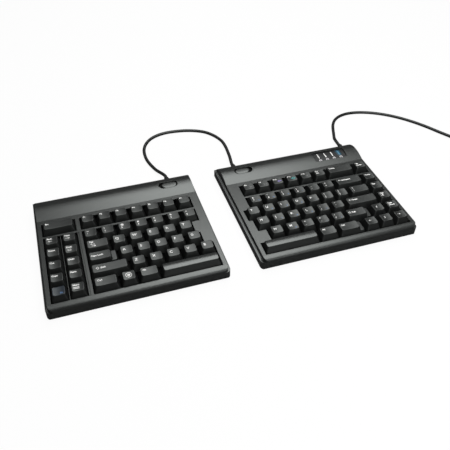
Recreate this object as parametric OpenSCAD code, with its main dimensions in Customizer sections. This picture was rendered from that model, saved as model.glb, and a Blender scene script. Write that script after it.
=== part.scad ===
// Split keyboard in two corded halves, in millimetres.
// The origin is on the desk, midway between the halves, and +Y points away from the user.

/* [Keys] */
// Distance between neighbouring key centres
key_pitch = 19.05; // [18.5:0.05:19.5]
// Gap between the skirts of neighbouring caps
cap_gap = 1.4; // [1.2:0.1:2]
// Height of a cap from its skirt to its top
cap_h = 9.5; // [9:0.1:10.5]
// How much narrower a cap is at its top than at its skirt
cap_taper = 4.9; // [4.5:0.1:6]
// How far the front of a cap leans back from its skirt to its top
cap_front_lean = 3.7; // [2.4:0.1:4]
// How far the front of a space bar leans back from its skirt to its top
bar_front_lean = 4.6; // [2.4:0.1:5]
// Depth of the finger dish in a cap
dish_depth = 0.5; // [0.4:0.1:1]
// Flat rim beside the finger dish
dish_rim = 0.4; // [0.2:0.1:0.8]
// Rise of the crown of a space bar from its long edges
crown_rise = 1.4; // [0.8:0.1:1.8]
// Thickness of a cap's side walls
cap_wall = 1.2; // [1:0.1:1.5]
// Thickness of a cap over its hollow
cap_roof = 2.6; // [2.2:0.1:3]
// Width of the bevel on a cap's upright edges
cap_bevel = 0.9; // [0.5:0.1:1.2]
// Drop from a stepped cap to its low ledge
step_drop = 4.5; // [3.5:0.1:5]
// Width of the low ledge of a stepped cap
step_w = 4.8; // [4:0.1:6]
// How far a key goes down
key_travel = 3.5; // [2.5:0.1:4]
// Diameter of the stem under the middle of a cap
stem_d = 6; // [5:0.1:6.5]
// Diameter of the two side posts under a wide cap
post_d = 4; // [3:0.1:4.5]
// Radial clearance of a stem or post in its barrel
stem_clear = 0.3; // [0.2:0.05:0.4]
// Wall of a guide barrel
barrel_wall = 1.3; // [1:0.1:1.5]

/* [Case] */
// Gap between the two halves on the desk
halves_gap = 35; // [20:1:60]
// Case beyond the keys at the left and right of each half
side_margin = 7.15; // [6.5:0.05:9]
// Case in front of the keys
front_margin = 7; // [6.5:0.1:9]
// Free well behind the number row
bar_setback = 2.55; // [1:0.05:2.8]
// Width of the bar between the number row and the function row
bar_w = 2.5; // [2:0.1:2.6]
// Gap between the cells of the number row and of the function row
row_gap = 5.72; // [5.6:0.02:7]
// Free well behind the function row
function_setback = 1.5; // [1:0.1:2.5]
// Flat deck between the function row and the hump
deck_back = 6.5; // [6:0.5:14]
// Run of the hump from its foot to its crest
hump_run = 20.5; // [16:0.5:24]
// Rise of the hump above the deck
hump_rise = 3.8; // [2.5:0.1:5]
// Radius of the back of the hump
rear_r = 28; // [26:0.5:34]
// Radius of the front edge of the deck
nose_r = 6; // [4:0.1:6.5]
// Height of the deck above the desk
deck_z = 17; // [16.5:0.1:19]
// Height of the line where cover and tray meet
split_z = 11; // [10:0.1:11]
// How far the tray stands out past the sides of the cover
ledge_w = 2.7; // [2:0.1:3.2]
// Thickness of the case walls and of the deck
wall = 2.2; // [1.8:0.1:2.5]
// Thickness of the tray's floor
floor_t = 2; // [1.6:0.1:2.4]
// Radius of the case corners seen from above
corner_r = 6; // [4:0.5:7]
// Bevel along the front lower edge of the tray
toe = 1.2; // [1:0.1:3]
// How far the caps reach below the deck
cap_sink = 3; // [2.8:0.1:3.2]
// Width of the rib between the two hot key columns
hot_rib_w = 0.8; // [0.6:0.1:1.2]
// How far that rib lies under the deck
hot_rib_drop = 1.2; // [0.8:0.1:1.4]
// Width of the groove beside the hot keys
groove_w = 0.8; // [0.5:0.1:1]
// Depth of the groove beside the hot keys
groove_depth = 1.2; // [0.8:0.1:1.5]

/* [Inside] */
// Thickness of the steel backing plate
plate_t = 1; // [0.8:0.1:1.2]
// Thickness of the switch membrane
membrane_t = 0.4; // [0.3:0.05:0.5]
// Thickness of the rubber sheet between the domes
sheet_t = 0.8; // [0.6:0.1:1]
// Thickness of the wall of a dome
dome_wall = 0.7; // [0.5:0.05:0.9]
// Radius of a dome at its foot
dome_foot_r = 4.6; // [4:0.1:5]
// Radius of a dome at its top
dome_top_r = 2.4; // [2:0.1:2.6]
// Thickness of the key guide frame
guide_t = 1.4; // [1.2:0.1:1.6]
// Clear space between the guide frame and the case walls
guide_clear = 0.65; // [0.3:0.05:0.9]
// Thickness of the circuit boards
board_t = 1.6; // [1:0.1:2]
// Height of the boards over the tray's floor
board_lift = 3.8; // [3:0.1:4.5]
// Clearance between pieces that are fixed to each other
fixed_clear = 0.1; // [0.05:0.05:0.2]
// Clearance between pieces that slide past each other
slide_clear = 0.3; // [0.25:0.05:0.4]

/* [Feet and screws] */
// How far the rubber feet lift the tray
foot_h = 1.2; // [0.8:0.1:1.6]
// Diameter of a rubber foot
foot_d = 10; // [8:0.5:12]
// Depth of the pocket that holds a foot
foot_pocket = 0.8; // [0.5:0.1:1]
// Distance of the feet from the case edges
foot_inset = 14; // [12:0.5:20]
// Diameter of the case screws
screw_d = 2.6; // [2.2:0.1:3]
// Diameter of a screw head
screw_head_d = 5.4; // [5:0.1:6]
// Height of a screw head
screw_head_h = 1.8; // [1.5:0.1:2]
// Distance of the outer screws from the case sides
screw_inset = 9.65; // [9:0.05:12]
// Height where a boss of the cover meets a post of the tray
boss_z = 8; // [7:0.1:9]

/* [Release latches] */
// Length of the oval window in the hump
latch_window_l = 24; // [22:0.5:28]
// Width of the oval window in the hump
latch_window_w = 12; // [10:0.5:13]
// How far a latch slides
latch_travel = 2.8; // [2:0.1:3.4]
// Distance from the inner edge of a half to the middle of the window
latch_inset = 32; // [30:0.5:36]
// Distance from the crest forward to the middle of the window
latch_setback = 1.5; // [1:0.5:4]
// Radius of the crown across a latch
latch_crown_r = 24; // [20:1:30]

/* [Indicators] */
// Width of the indicator panel
panel_w = 46; // [42:0.5:48]
// Depth of the indicator panel from front to back
panel_d = 19; // [16:0.5:20]
// Distance from the right edge of the right half to the panel
panel_inset = 20; // [19:0.5:24]
// Distance from the crest to the back of the panel
panel_back = 7; // [4:0.5:7.5]
// Radius of the corners of the panel
panel_r = 3; // [1:0.5:4]
// How deep the panel lies under the hump
panel_sink = 0.8; // [0.5:0.1:1.2]
// Distance between the indicator bars
light_pitch = 9.9; // [9:0.1:10.5]
// Width of an indicator bar
light_w = 1.5; // [1:0.1:2]
// Length of an indicator bar
light_l = 10; // [8:0.5:11]

/* [Cords] */
// Diameter of the cords
cord_d = 4.3; // [3.6:0.1:4.5]
// Distance from the inner edge of a half to its link cord
link_inset = 28; // [27:0.5:29]
// Distance from the right edge of the right half to the USB cord
usb_inset = 9.85; // [9.5:0.05:12]
// Diameter of the neck of a cord gland
gland_neck_d = 5.8; // [5.4:0.1:6]
// Diameter of the shoulder of a cord gland
gland_shoulder_d = 8; // [7.5:0.1:8.6]
// Mean diameter of the put-away coil, in cord diameters
coil_mean = 11; // [10:0.5:12]
// Turns in each layer of the coil
coil_turns = 2.5; // [1.5:1:3.5]
// Clear space between neighbouring turns
coil_clear = 0.6; // [0.5:0.1:1]
// Width of the tie round the coil
tie_w = 8; // [6:0.5:10]
// Thickness of the tie
tie_t = 0.6; // [0.4:0.1:0.8]

/* [Hidden] */
$fn = 48;
eps = 0.01;
// How far a cut reaches past the face it opens
over = 1;
LEFT = -1;
RIGHT = 1;

// Key field of a half, measured in key cells from its front left corner
field_cells = 9.5;
hot_columns = 2;
main_start = 2.25;
main_rows = 5;
function_row = 5;
field_w = field_cells * key_pitch;
half_w = field_w + 2 * side_margin;
function_front = main_rows * key_pitch + row_gap;
function row_front(row) = row < main_rows ? row * key_pitch : function_front;
function row_back(row) = row_front(row) + key_pitch;
field_d = row_back(function_row);

// Tilt of the cap tops from the front row to the function row, in degrees
row_tilt = [0, 0, 1, 2, 0, 0];

// Case outline seen from the side
main_back = main_rows * key_pitch + bar_setback;
function_well_front = main_back + bar_w;
function_well_back = field_d + function_setback;
hump_start = function_well_back + deck_back;
crest_y = hump_start + hump_run;
crest_z = deck_z + hump_rise;
hump_r = (hump_run * hump_run + hump_rise * hump_rise) / (2 * hump_rise);
tray_z = foot_h;
function rear_y(z, inset = 0) = crest_y
    + sqrt(pow(rear_r - inset, 2) - pow(rear_r - crest_z + z, 2));
case_back = rear_y(tray_z);
field_y = (front_margin - case_back) / 2;

// Heights of the layers inside
floor_z = tray_z + floor_t;
plate_top = floor_z + plate_t;
membrane_top = plate_top + membrane_t;
sheet_top = membrane_top + sheet_t;
skirt_z = deck_z - cap_sink;
stop_gap = 0.5;
barrel_rise = 1;
guide_top = skirt_z - key_travel - stop_gap;
dome_h = key_travel + slide_clear;
dome_top = sheet_top + dome_h;
stem_z = dome_top + slide_clear;
barrel_top = skirt_z + barrel_rise;
board_z = floor_z + board_lift;
guide_rim = side_margin - ledge_w - wall - guide_clear;

// Wells of the cover: left and right end of each main row, in key cells
left_main_ends = [for (end = [9.5, 9.5, 9, 8.75, 9.25]) [main_start, end]];
right_main_ends = [for (start = [0, 0.75, 0.25, 0, 0.5]) [start, field_cells]];
left_function_ends = [[0, hot_columns], [main_start, main_start + 7]];
right_function_ends = [[0.5, field_cells]];
groove_gap = 1;
groove_x = hot_columns * key_pitch + groove_gap;

// Keys: middle in key cells from the field's left end, row, width in cells, kind of top
DISHED = 0;
CROWNED = 1;
STEPPED = 2;
wide_cells = 2;
function bank(first, count, row) = [for (i = [0:count - 1]) [first + i, row, 1, DISHED]];
function after(start, width) = start + width / 2;

esc_cells = [[1, 5, 2, DISHED]];
left_function_cells = bank(main_start + 0.5, 7, 5);
hot_key_cells = [for (row = [0:4], column = [0.5, 1.5]) [column, row, 1, DISHED]];
left_number_cells = bank(main_start + 0.5, 7, 4);
tab_cells = [[after(main_start, 1.5), 3, 1.5, DISHED]];
left_upper_cells = bank(main_start + 2, 5, 3);
caps_lock_cells = [[after(main_start, 1.75), 2, 1.75, STEPPED]];
left_home_cells = bank(main_start + 2.25, 5, 2);
left_shift_cells = [[after(main_start, 2.25), 1, 2.25, DISHED]];
left_lower_cells = bank(main_start + 2.75, 5, 1);
left_control_cells = [[after(main_start, 1.5), 0, 1.5, DISHED]];
system_cells = [[main_start + 2, 0, 1, DISHED]];
left_alt_cells = [[after(main_start + 2.5, 1.25), 0, 1.25, DISHED]];
left_space_cells = [[after(main_start + 3.75, 3.5), 0, 3.5, CROWNED]];

right_function_cells = bank(1, 6, 5);
delete_cells = [[7.5, 5, 2, DISHED]];
right_number_cells = bank(1, 6, 4);
backspace_cells = [[7.5, 4, 2, DISHED]];
right_upper_cells = bank(0.5, 7, 3);
backslash_cells = [[after(7, 1.5), 3, 1.5, DISHED]];
right_home_cells = bank(0.75, 6, 2);
enter_cells = [[after(6.25, 2.25), 2, 2.25, DISHED]];
right_lower_cells = bank(1.25, 5, 1);
right_shift_cells = [[after(5.75, 1.75), 1, 1.75, STEPPED]];
right_space_cells = [[after(0, 3.5), 0, 3.5, CROWNED]];
right_alt_cells = [[after(3.5, 1.25), 0, 1.25, DISHED]];
right_control_cells = [[after(4.75, 1.75), 0, 1.75, STEPPED]];
arrow_cells = [[8, 1, 1, DISHED], [7, 0, 1, DISHED], [8, 0, 1, DISHED], [9, 0, 1, DISHED]];
navigation_cells = [for (row = [1:5]) [9, row, 1, DISHED]];

left_cells = concat(esc_cells, left_function_cells, hot_key_cells, left_number_cells, tab_cells,
    left_upper_cells, caps_lock_cells, left_home_cells, left_shift_cells, left_lower_cells,
    left_control_cells, system_cells, left_alt_cells, left_space_cells);
right_cells = concat(right_function_cells, delete_cells, right_number_cells, backspace_cells,
    right_upper_cells, backslash_cells, right_home_cells, enter_cells, right_lower_cells,
    right_shift_cells, right_space_cells, right_alt_cells, right_control_cells, arrow_cells,
    navigation_cells);
function cells_of(side) = side == LEFT ? left_cells : right_cells;
function post_offset(cells) = (cells - 1) / 2 * key_pitch;

// Screws, feet and boards, from the field's front left corner
screw_setback = 4;
screw_y = crest_y - screw_setback;
screw_xs = [screw_inset - side_margin, field_w / 2, field_w + side_margin - screw_inset];
screw_room = 0.3;
screw_end_gap = 3;
boss_wall = 2;
post_wall = 1.3;
foot_xs = [foot_inset - side_margin, field_w + side_margin - foot_inset];
foot_ys = [foot_inset - front_margin, case_back - foot_inset];
link_board = [26, 20];
link_board_setback = 8;
board_rim = 4;
board_advance = 2;
controller_board_size = [panel_w + 2 * board_rim, 26];
board_post_d = 5;
board_post_inset = [5, 4];
tail_w = 8;
tail_lap = 6;

// Indicator panel and its light bars
panel_x = field_w + side_margin - panel_inset - panel_w;
panel_front = crest_y + panel_back - panel_d;
panel_lip = 2;
panel_lip_t = 1;
light_setback = 4.5;
light_front = panel_front + light_setback;
light_rise = 0.2;
light_count = 4;

// Flange that keeps a release latch under the hump
latch_flange = 2;
latch_flange_t = 1.2;

// Cord glands midway up the rear wall of the tray
exit_z = (floor_z + split_z) / 2;
gland_flange_d = split_z - floor_z - 2 * fixed_clear;
gland_flange_t = 1.8;
gland_flange_y = rear_y(split_z, wall) - fixed_clear;
gland_shoulder_y = rear_y(exit_z - gland_shoulder_d / 2) + fixed_clear;
gland_shoulder_t = 1;
gland_collar_d = gland_neck_d + 1;
gland_tip_d = cord_d + 1.4;
gland_tip_l = 2.5;
gland_tip_y = gland_shoulder_y + gland_shoulder_t + gland_tip_l;

// Plug at the end of the coil: width, length and height of its grip and of its shell
plug_grip = [16, 36, 6];
plug_grip_r = 2;
plug_lift = 0.1;
plug_neck_l = 9;
plug_neck_d = 6;
plug_neck_tip_d = cord_d + 1;
plug_shell = [12, 18.6, 4.5];
plug_shell_t = 0.4;
plug_tongue = [10.8, 16.6, 1.6];
plug_z = plug_lift + plug_grip[2] / 2;

// Heights of the cords on the desk and at the top of the coil
cord_z = cord_d / 2 + 0.1;
coil_layers = 4;
coil_pitch = cord_d + coil_clear;
coil_low_z = plug_z;
coil_top_z = coil_low_z + (coil_layers - 1) * coil_pitch;

// Lay of the link cord, chosen by hand: part of the way from the middle to a gland,
// distance behind the glands, and part of the way up to the height of the glands
link_lay = [
    [-1, 0, 1], [-1, 4, 1], [-1.04, 16, 0.75], [-1.12, 23.5, 0.3], [-1.21, 32.5, 0.05],
    [-1.28, 42.5, 0], [-1.32, 53.5, 0], [-1.32, 65.5, 0], [-1.28, 77, 0], [-1.17, 88.5, 0],
    [-0.97, 99, 0], [-0.7, 105.5, 0], [-0.41, 108, 0], [-0.1, 107.5, 0], [0.22, 105, 0],
    [0.54, 99.5, 0], [0.79, 92, 0], [0.99, 80, 0], [1.11, 65.5, 0], [1.14, 50.5, 0], [1.12, 35.5, 0.05],
    [1.07, 23.5, 0.38], [1.01, 14.5, 0.84], [1, 4, 1], [1, 0, 1]
];
// Lay of the USB cord from its gland, and then its climb to the top of the coil
usb_lay = [
    [0, 0, 1], [0, 4, 1], [1.5, 16.5, 0.8], [5, 25, 0.34], [9, 34, 0.07], [13.5, 45, 0], [19, 56.5, 0],
    [27, 67, 0], [38, 74.5, 0], [51, 78, 0], [65, 77.5, 0], [80, 73.5, 0], [95, 66.5, 0],
    [110, 56.5, 0], [124, 44, 0], [137, 29, 0], [148.5, 12.5, 0]
];
usb_climb = [
    [158, -5, 0.02], [165.5, -23, 0.13], [171, -41.5, 0.32], [174.5, -60, 0.56], [176.4, -78.5, 0.79],
    [177, -96.5, 0.95], [177, -106.5, 1], [177, -114.5, 1]
];
link_x = halves_gap / 2 + link_inset;
usb_x = halves_gap / 2 + half_w - usb_inset;
cord_start_y = field_y + gland_tip_y;
function lifted(part, top) = cord_z + part * (top - cord_z);
link_route = [for (p = link_lay) [p[0] * link_x, cord_start_y + p[1], lifted(p[2], exit_z)]];
usb_route = concat(
    [for (p = usb_lay) [usb_x + p[0], cord_start_y + p[1], lifted(p[2], exit_z)]],
    [for (p = usb_climb) [usb_x + p[0], cord_start_y + p[1], lifted(p[2], coil_top_z)]]
);
cord_sides = 10;
coil_sides = 6;
coil_steps = 24;

// The coil winds in and out from its top layer down to the desk
coil_mid_r = coil_mean * cord_d / 2;
coil_out_r = coil_mid_r + coil_pitch * coil_turns / 2;
coil_in_r = coil_out_r - coil_pitch * coil_turns;
coil_start = usb_route[len(usb_route) - 1];
coil_lead = cord_d;
coil_x = coil_start[0] - coil_out_r;
coil_y = coil_start[1] - coil_lead;
// The plug's grip lies where the turn inside the last one has curved away from it
turn_edge_r = coil_out_r - coil_pitch * 7 / 8 + cord_d / 2 + slide_clear;
grip_edge_x = coil_out_r - plug_grip[0] / 2;
grip_lead = sqrt(max(0, turn_edge_r * turn_edge_r - grip_edge_x * grip_edge_x));
plug_y = coil_y - max(coil_lead, grip_lead - plug_neck_l);
coil_end_turn = coil_layers * coil_turns;

// Radius and height of the coil at a turn counted from its start
function coil_radius(turn) = let (in_layer = turn % (2 * coil_turns))
    coil_out_r - coil_pitch * (in_layer <= coil_turns ? in_layer : 2 * coil_turns - in_layer);
function coil_drop(turn) = let (change = floor(turn / coil_turns + 0.5), past = turn - change * coil_turns)
    change < 1 || change >= coil_layers ? (change < 1 ? 0 : coil_layers - 1)
    : change - 0.5 + max(-0.5, min(0.5, past * 2));
function coil_point(turn) = [
    coil_x + coil_radius(turn) * cos(360 * turn),
    coil_y - coil_radius(turn) * sin(360 * turn),
    coil_top_z - coil_pitch * coil_drop(turn)
];
coil_winding = [for (i = [0:coil_end_turn * coil_steps]) coil_point(i / coil_steps)];
coil_route = concat([coil_start], coil_winding, [[coil_start[0], plug_y, coil_low_z]]);
coil_gap = min([
    for (i = [0:len(coil_winding) - 1], j = [i + coil_steps / 2:len(coil_winding) - 1])
        norm(coil_winding[i] - coil_winding[j])
]) - cord_d;
function route_length(route) = len(route) < 2 ? 0
    : [for (i = 1, sum = norm(route[1] - route[0]); i < len(route);
        i = i + 1, sum = i < len(route) ? sum + norm(route[i] - route[i - 1]) : sum) sum][len(route) - 2];
echo(least_gap_in_coil = coil_gap);
echo(link_cord_length = route_length(link_route));
echo(usb_cord_length = route_length(usb_route), coil_length = route_length(coil_route));

// Colours of the object
black = [0.06, 0.06, 0.065];
charcoal = [0.16, 0.16, 0.165];
cap_black = [0.1, 0.1, 0.105];
rubber = [0.13, 0.13, 0.13];
steel = [0.7, 0.71, 0.73];

// Puts a half's own frame, with its field's front left corner as origin, on the desk
module on_half(side) {
    x = side == LEFT ? -halves_gap / 2 - side_margin - field_w : halves_gap / 2 + side_margin;
    translate([x, field_y, 0]) children();
}

// Puts a frame at a distance from a half's inner edge, with +X towards the other half
module from_inner_edge(side, distance) {
    x = side == LEFT ? field_w + side_margin - distance : distance - side_margin;
    translate([x, 0, 0]) mirror([side == LEFT ? 0 : 1, 0, 0]) children();
}

// Draws a Y-Z outline along X
module along_x(x0, x1) {
    translate([x0, 0, 0]) rotate([90, 0, 90]) linear_extrude(x1 - x0) children();
}

module block(low, high) {
    translate(low) cube(high - low);
}

module rounded_plan(x0, x1, y0, y1, r) {
    translate([x0 + r, y0]) square([x1 - x0 - 2 * r, y1 - y0]);
    translate([x0, y0 + r]) square([x1 - x0, y1 - y0 - 2 * r]);
    for (x = [x0 + r, x1 - r], y = [y0 + r, y1 - r]) translate([x, y]) circle(r);
}

module stadium(l, w) {
    square([l - w, w], center = true);
    for (x = [-1, 1]) translate([x * (l - w) / 2, 0]) circle(w / 2);
}

// Side outline of the case, drawn in by inset and cut off below bottom
module case_outline(inset, bottom) {
    front = inset - front_margin;
    nose_y = nose_r - front_margin;
    toe_h = bottom > tray_z ? 0 : toe;
    nose_z = deck_z - nose_r;
    translate([nose_y, bottom]) square([crest_y - nose_y, deck_z - inset - bottom]);
    if (bottom + toe_h < nose_z) polygon([
        [nose_y, bottom], [front + toe_h, bottom], [front, bottom + toe_h], [front, nose_z], [nose_y, nose_z]
    ]);
    intersection() {
        translate([nose_y, nose_z]) circle(nose_r - inset);
        translate([front, max(bottom, nose_z)]) square(nose_r + inset);
    }
    intersection() {
        translate([crest_y, crest_z - hump_r]) circle(hump_r - inset);
        translate([0, bottom]) square([crest_y, crest_z]);
    }
    intersection() {
        translate([crest_y, crest_z - rear_r]) circle(rear_r - inset);
        translate([crest_y, bottom]) square([rear_r, crest_z]);
    }
}

// Skin of the hump between two depths under its surface
module hump_skin(x0, x1, outer, inner) {
    along_x(x0, x1) difference() {
        case_outline(outer, split_z);
        case_outline(inner, 0);
    }
}

// Outline of the main well, stepped like the rows of keys
module main_well(ends) {
    last = main_rows - 1;
    function low(i) = i * key_pitch;
    function high(i) = i == last ? main_back : (i + 1) * key_pitch;
    function side_points(k) = [
        for (i = [0:last]) each [
            if (i == 0 || ends[i][k] != ends[i - 1][k]) [ends[i][k] * key_pitch, low(i)],
            if (i == last || ends[i][k] != ends[i + 1][k]) [ends[i][k] * key_pitch, high(i)]
        ]
    ];
    rights = side_points(1);
    polygon(concat(side_points(0), [for (i = [len(rights) - 1:-1:0]) rights[i]]));
}

module wells(side) {
    translate([0, 0, deck_z - wall - over]) linear_extrude(wall + 2 * over) {
        main_well(side == LEFT ? left_main_ends : right_main_ends);
        for (ends = side == LEFT ? left_function_ends : right_function_ends)
            translate([ends[0] * key_pitch, function_well_front])
                square([(ends[1] - ends[0]) * key_pitch, function_well_back - function_well_front]);
        if (side == LEFT) for (column = [0:hot_columns - 1])
            translate([column * (key_pitch + hot_rib_w / 2), 0])
                square([key_pitch - hot_rib_w / 2, main_back]);
    }
    if (side == LEFT) {
        block([0, 0, deck_z - hot_rib_drop], [hot_columns * key_pitch, main_back, deck_z + over]);
        block([groove_x, 0, deck_z - groove_depth], [groove_x + groove_w, main_back, deck_z + over]);
    }
}

// Outline of the indicator panel seen from above, drawn in by inset
module panel_plan(inset) {
    rounded_plan(panel_x + inset, panel_x + panel_w - inset, panel_front + inset,
        panel_front + panel_d - inset, panel_r - inset);
}

module top_cover(side) {
    x0 = ledge_w - side_margin;
    x1 = field_w + side_margin - ledge_w;
    difference() {
        union() {
            difference() {
                intersection() {
                    along_x(x0, x1) case_outline(0, split_z);
                    linear_extrude(crest_z + over)
                        rounded_plan(x0, x1, -front_margin, case_back, corner_r);
                }
                along_x(x0 + wall, x1 - wall) case_outline(wall, split_z - over);
            }
            for (x = screw_xs) translate([x, screw_y, boss_z])
                cylinder(d = screw_d + 2 * boss_wall, h = crest_z - boss_z - wall / 2);
        }
        wells(side);
        for (x = screw_xs) translate([x, screw_y, boss_z - over])
            cylinder(d = screw_d + fixed_clear, h = crest_z - wall - screw_end_gap / 2 - boss_z + over);
        from_inner_edge(side, latch_inset) translate([0, crest_y - latch_setback, deck_z])
            linear_extrude(hump_rise + over) stadium(latch_window_l, latch_window_w);
        if (side == RIGHT)
            translate([0, 0, deck_z - wall]) linear_extrude(hump_rise + wall + over) panel_plan(0);
    }
}

module bottom_tray(side) {
    x0 = -side_margin;
    x1 = field_w + side_margin;
    shelf = ledge_w + wall;
    board = side == LEFT ? link_board : controller_board_size;
    difference() {
        union() {
            difference() {
                intersection() {
                    along_x(x0, x1) intersection() {
                        case_outline(0, tray_z);
                        translate([-front_margin, tray_z])
                            square([case_back + front_margin, split_z - tray_z]);
                    }
                    linear_extrude(split_z) rounded_plan(x0, x1, -front_margin, case_back, corner_r);
                }
                along_x(x0 + shelf, x1 - shelf) case_outline(wall, floor_z);
            }
            for (x = screw_xs) translate([x, screw_y, floor_z - eps])
                cylinder(d = screw_head_d + 2 * post_wall, h = boss_z - floor_z + eps);
            on_board_posts(side, board) translate([0, 0, floor_z - eps])
                cylinder(d = board_post_d, h = board_lift + eps);
        }
        for (x = screw_xs) translate([x, screw_y, 0]) {
            cylinder(d = screw_d + 2 * screw_room, h = boss_z + over);
            cylinder(d = screw_head_d + 2 * screw_room, h = floor_z + screw_head_h);
        }
        for (x = foot_xs, y = foot_ys) translate([x, y, 0])
            cylinder(d = foot_d + 2 * fixed_clear, h = tray_z + foot_pocket);
        cord_exits(side) translate([0, gland_flange_y, 0]) rotate([-90, 0, 0])
            cylinder(d = gland_neck_d + 2 * fixed_clear, h = case_back - gland_flange_y);
    }
}

// Puts its children on the middle lines of the cord exits of a half
module cord_exits(side) {
    from_inner_edge(side, link_inset) translate([0, 0, exit_z]) children();
    if (side == RIGHT)
        translate([field_w + side_margin - usb_inset, 0, exit_z]) children();
}

// Corner of the board of a half
function board_corner(side) = side == LEFT
    ? [field_w + side_margin - link_inset - link_board[0] / 2, crest_y - link_board_setback]
    : [panel_x + panel_w / 2 - controller_board_size[0] / 2, panel_front - board_advance];

module on_board_posts(side, board) {
    low = board_post_inset;
    high = board - board_post_inset;
    for (x = [low[0], high[0]], y = [low[1], high[1]])
        translate(concat(board_corner(side) + [x, y], 0)) children();
}

module board(side, size) {
    translate(concat(board_corner(side), board_z)) cube(concat(size, board_t));
}

// Flat layer under the whole key field
module field_layer(z0, z1) {
    block([-guide_rim, -guide_rim, z0], [field_w + guide_rim, field_d + guide_rim, z1]);
}

// Switch membrane with a tail that runs under the board
module membrane(side) {
    board_w = side == LEFT ? link_board[0] : controller_board_size[0];
    tail_x = board_corner(side)[0] + (board_w - tail_w) / 2;
    field_layer(plate_top, membrane_top);
    block([tail_x, field_d, plate_top], [tail_x + tail_w, board_corner(side)[1] + tail_lap, membrane_top]);
}

// Puts its children at the middle of each key cell
module at_cells(cells) {
    for (cell = cells)
        translate([cell[0] * key_pitch, row_front(cell[1]) + key_pitch / 2, 0]) {
            $cell = cell;
            children();
        }
}

module dome_cone(shrink, z0, z1) {
    foot = dome_foot_r - shrink;
    top = dome_top_r - shrink;
    translate([0, 0, z0]) cylinder(r1 = foot, r2 = top, h = z1 - z0);
}

module dome_sheet(side) {
    difference() {
        union() {
            field_layer(membrane_top, sheet_top);
            at_cells(cells_of(side)) dome_cone(0, sheet_top - eps, dome_top);
        }
        at_cells(cells_of(side)) dome_cone(dome_wall, membrane_top - eps, dome_top - dome_wall);
    }
}

// Positions of a key's stem and side posts with their diameters
function legs_of(cell) = concat([[0, stem_d]],
    cell[2] < wide_cells ? [] : [for (s = [-1, 1]) [s * post_offset(cell[2]), post_d]]);

module guide_frame(side) {
    bar_y = main_back + bar_w / 2;
    difference() {
        union() {
            difference() {
                field_layer(sheet_top, guide_top);
                block([0, 0, 0], [field_w, field_d, guide_top - guide_t]);
            }
            at_cells(cells_of(side)) for (leg = legs_of($cell))
                translate([leg[0], 0, guide_top - eps])
                    cylinder(d = leg[1] + 2 * (stem_clear + barrel_wall), h = barrel_top - guide_top);
            block([guide_rim, bar_y - guide_rim / 2, guide_top - eps],
                [field_w - guide_rim, bar_y + guide_rim / 2, deck_z - wall]);
        }
        at_cells(cells_of(side)) for (leg = legs_of($cell))
            translate([leg[0], 0, 0]) cylinder(d = leg[1] + 2 * stem_clear, h = barrel_top + over);
    }
}

// Outer form of a cap of so many cells, with its skirt at z = 0
module cap_form(cells, front_lean, tilt, shrink, h) {
    skirt_w = cells * key_pitch - cap_gap - 2 * shrink;
    skirt_d = key_pitch - cap_gap - 2 * shrink;
    lean = cap_taper / 2 / cap_h;
    front = front_lean / cap_h;
    rise = tan(tilt) * (skirt_d / 2 - lean * h);
    fall = tan(tilt) * (skirt_d / 2 - front * h);
    peak = cap_h + key_pitch / 4;
    intersection() {
        along_x(-skirt_w / 2, skirt_w / 2) polygon([
            [-skirt_d / 2, 0], [skirt_d / 2, 0],
            [skirt_d / 2 - lean * (h + rise), h + rise], [front * (h - fall) - skirt_d / 2, h - fall]
        ]);
        rotate([90, 0, 0]) linear_extrude(key_pitch, center = true) polygon([
            [-skirt_w / 2, 0], [skirt_w / 2, 0],
            [skirt_w / 2 - lean * peak, peak], [lean * peak - skirt_w / 2, peak]
        ]);
    }
}

// Cuts the upright edges of a cap along their lean
module edge_bevels(cells, front_lean) {
    skirt_w = cells * key_pitch - cap_gap;
    skirt_d = key_pitch - cap_gap;
    function lean_angle(sy) =
        atan((cap_taper / 2 + (sy < 0 ? front_lean : cap_taper / 2)) / sqrt(2) / cap_h);
    for (sx = [-1, 1], sy = [-1, 1])
        translate([sx * skirt_w / 2, sy * skirt_d / 2, 0]) rotate([0, 0, atan2(sy, sx)])
            rotate([0, -lean_angle(sy), 0]) translate([-cap_bevel, -key_pitch / 2, -cap_h / 2])
                cube([key_pitch / 2, key_pitch, 2 * cap_h + key_pitch / 2]);
}

// Finger dish across a cap top of so many cells
module dish(cells, tilt) {
    dish_half = (cells * key_pitch - cap_gap - cap_taper) / 2 - dish_rim;
    r = (dish_half * dish_half + dish_depth * dish_depth) / (2 * dish_depth);
    translate([0, 0, cap_h]) rotate([90 + tilt, 0, 0]) translate([0, r - dish_depth, 0])
        cylinder(r = r, h = 2 * key_pitch, center = true, $fn = 256);
}

module dished_top(cells, tilt) {
    difference() {
        cap_form(cells, cap_front_lean, tilt, 0, cap_h);
        edge_bevels(cells, cap_front_lean);
        dish(cells, tilt);
    }
}

module crowned_top(cells) {
    half_d = (key_pitch - cap_gap - cap_taper) / 2;
    r = (half_d * half_d + crown_rise * crown_rise) / (2 * crown_rise);
    difference() {
        intersection() {
            cap_form(cells, bar_front_lean, 0, 0, cap_h);
            translate([0, 0, cap_h - r]) rotate([0, 90, 0])
                cylinder(r = r, h = cells * key_pitch, center = true, $fn = 96);
        }
        edge_bevels(cells, bar_front_lean);
    }
}

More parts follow.
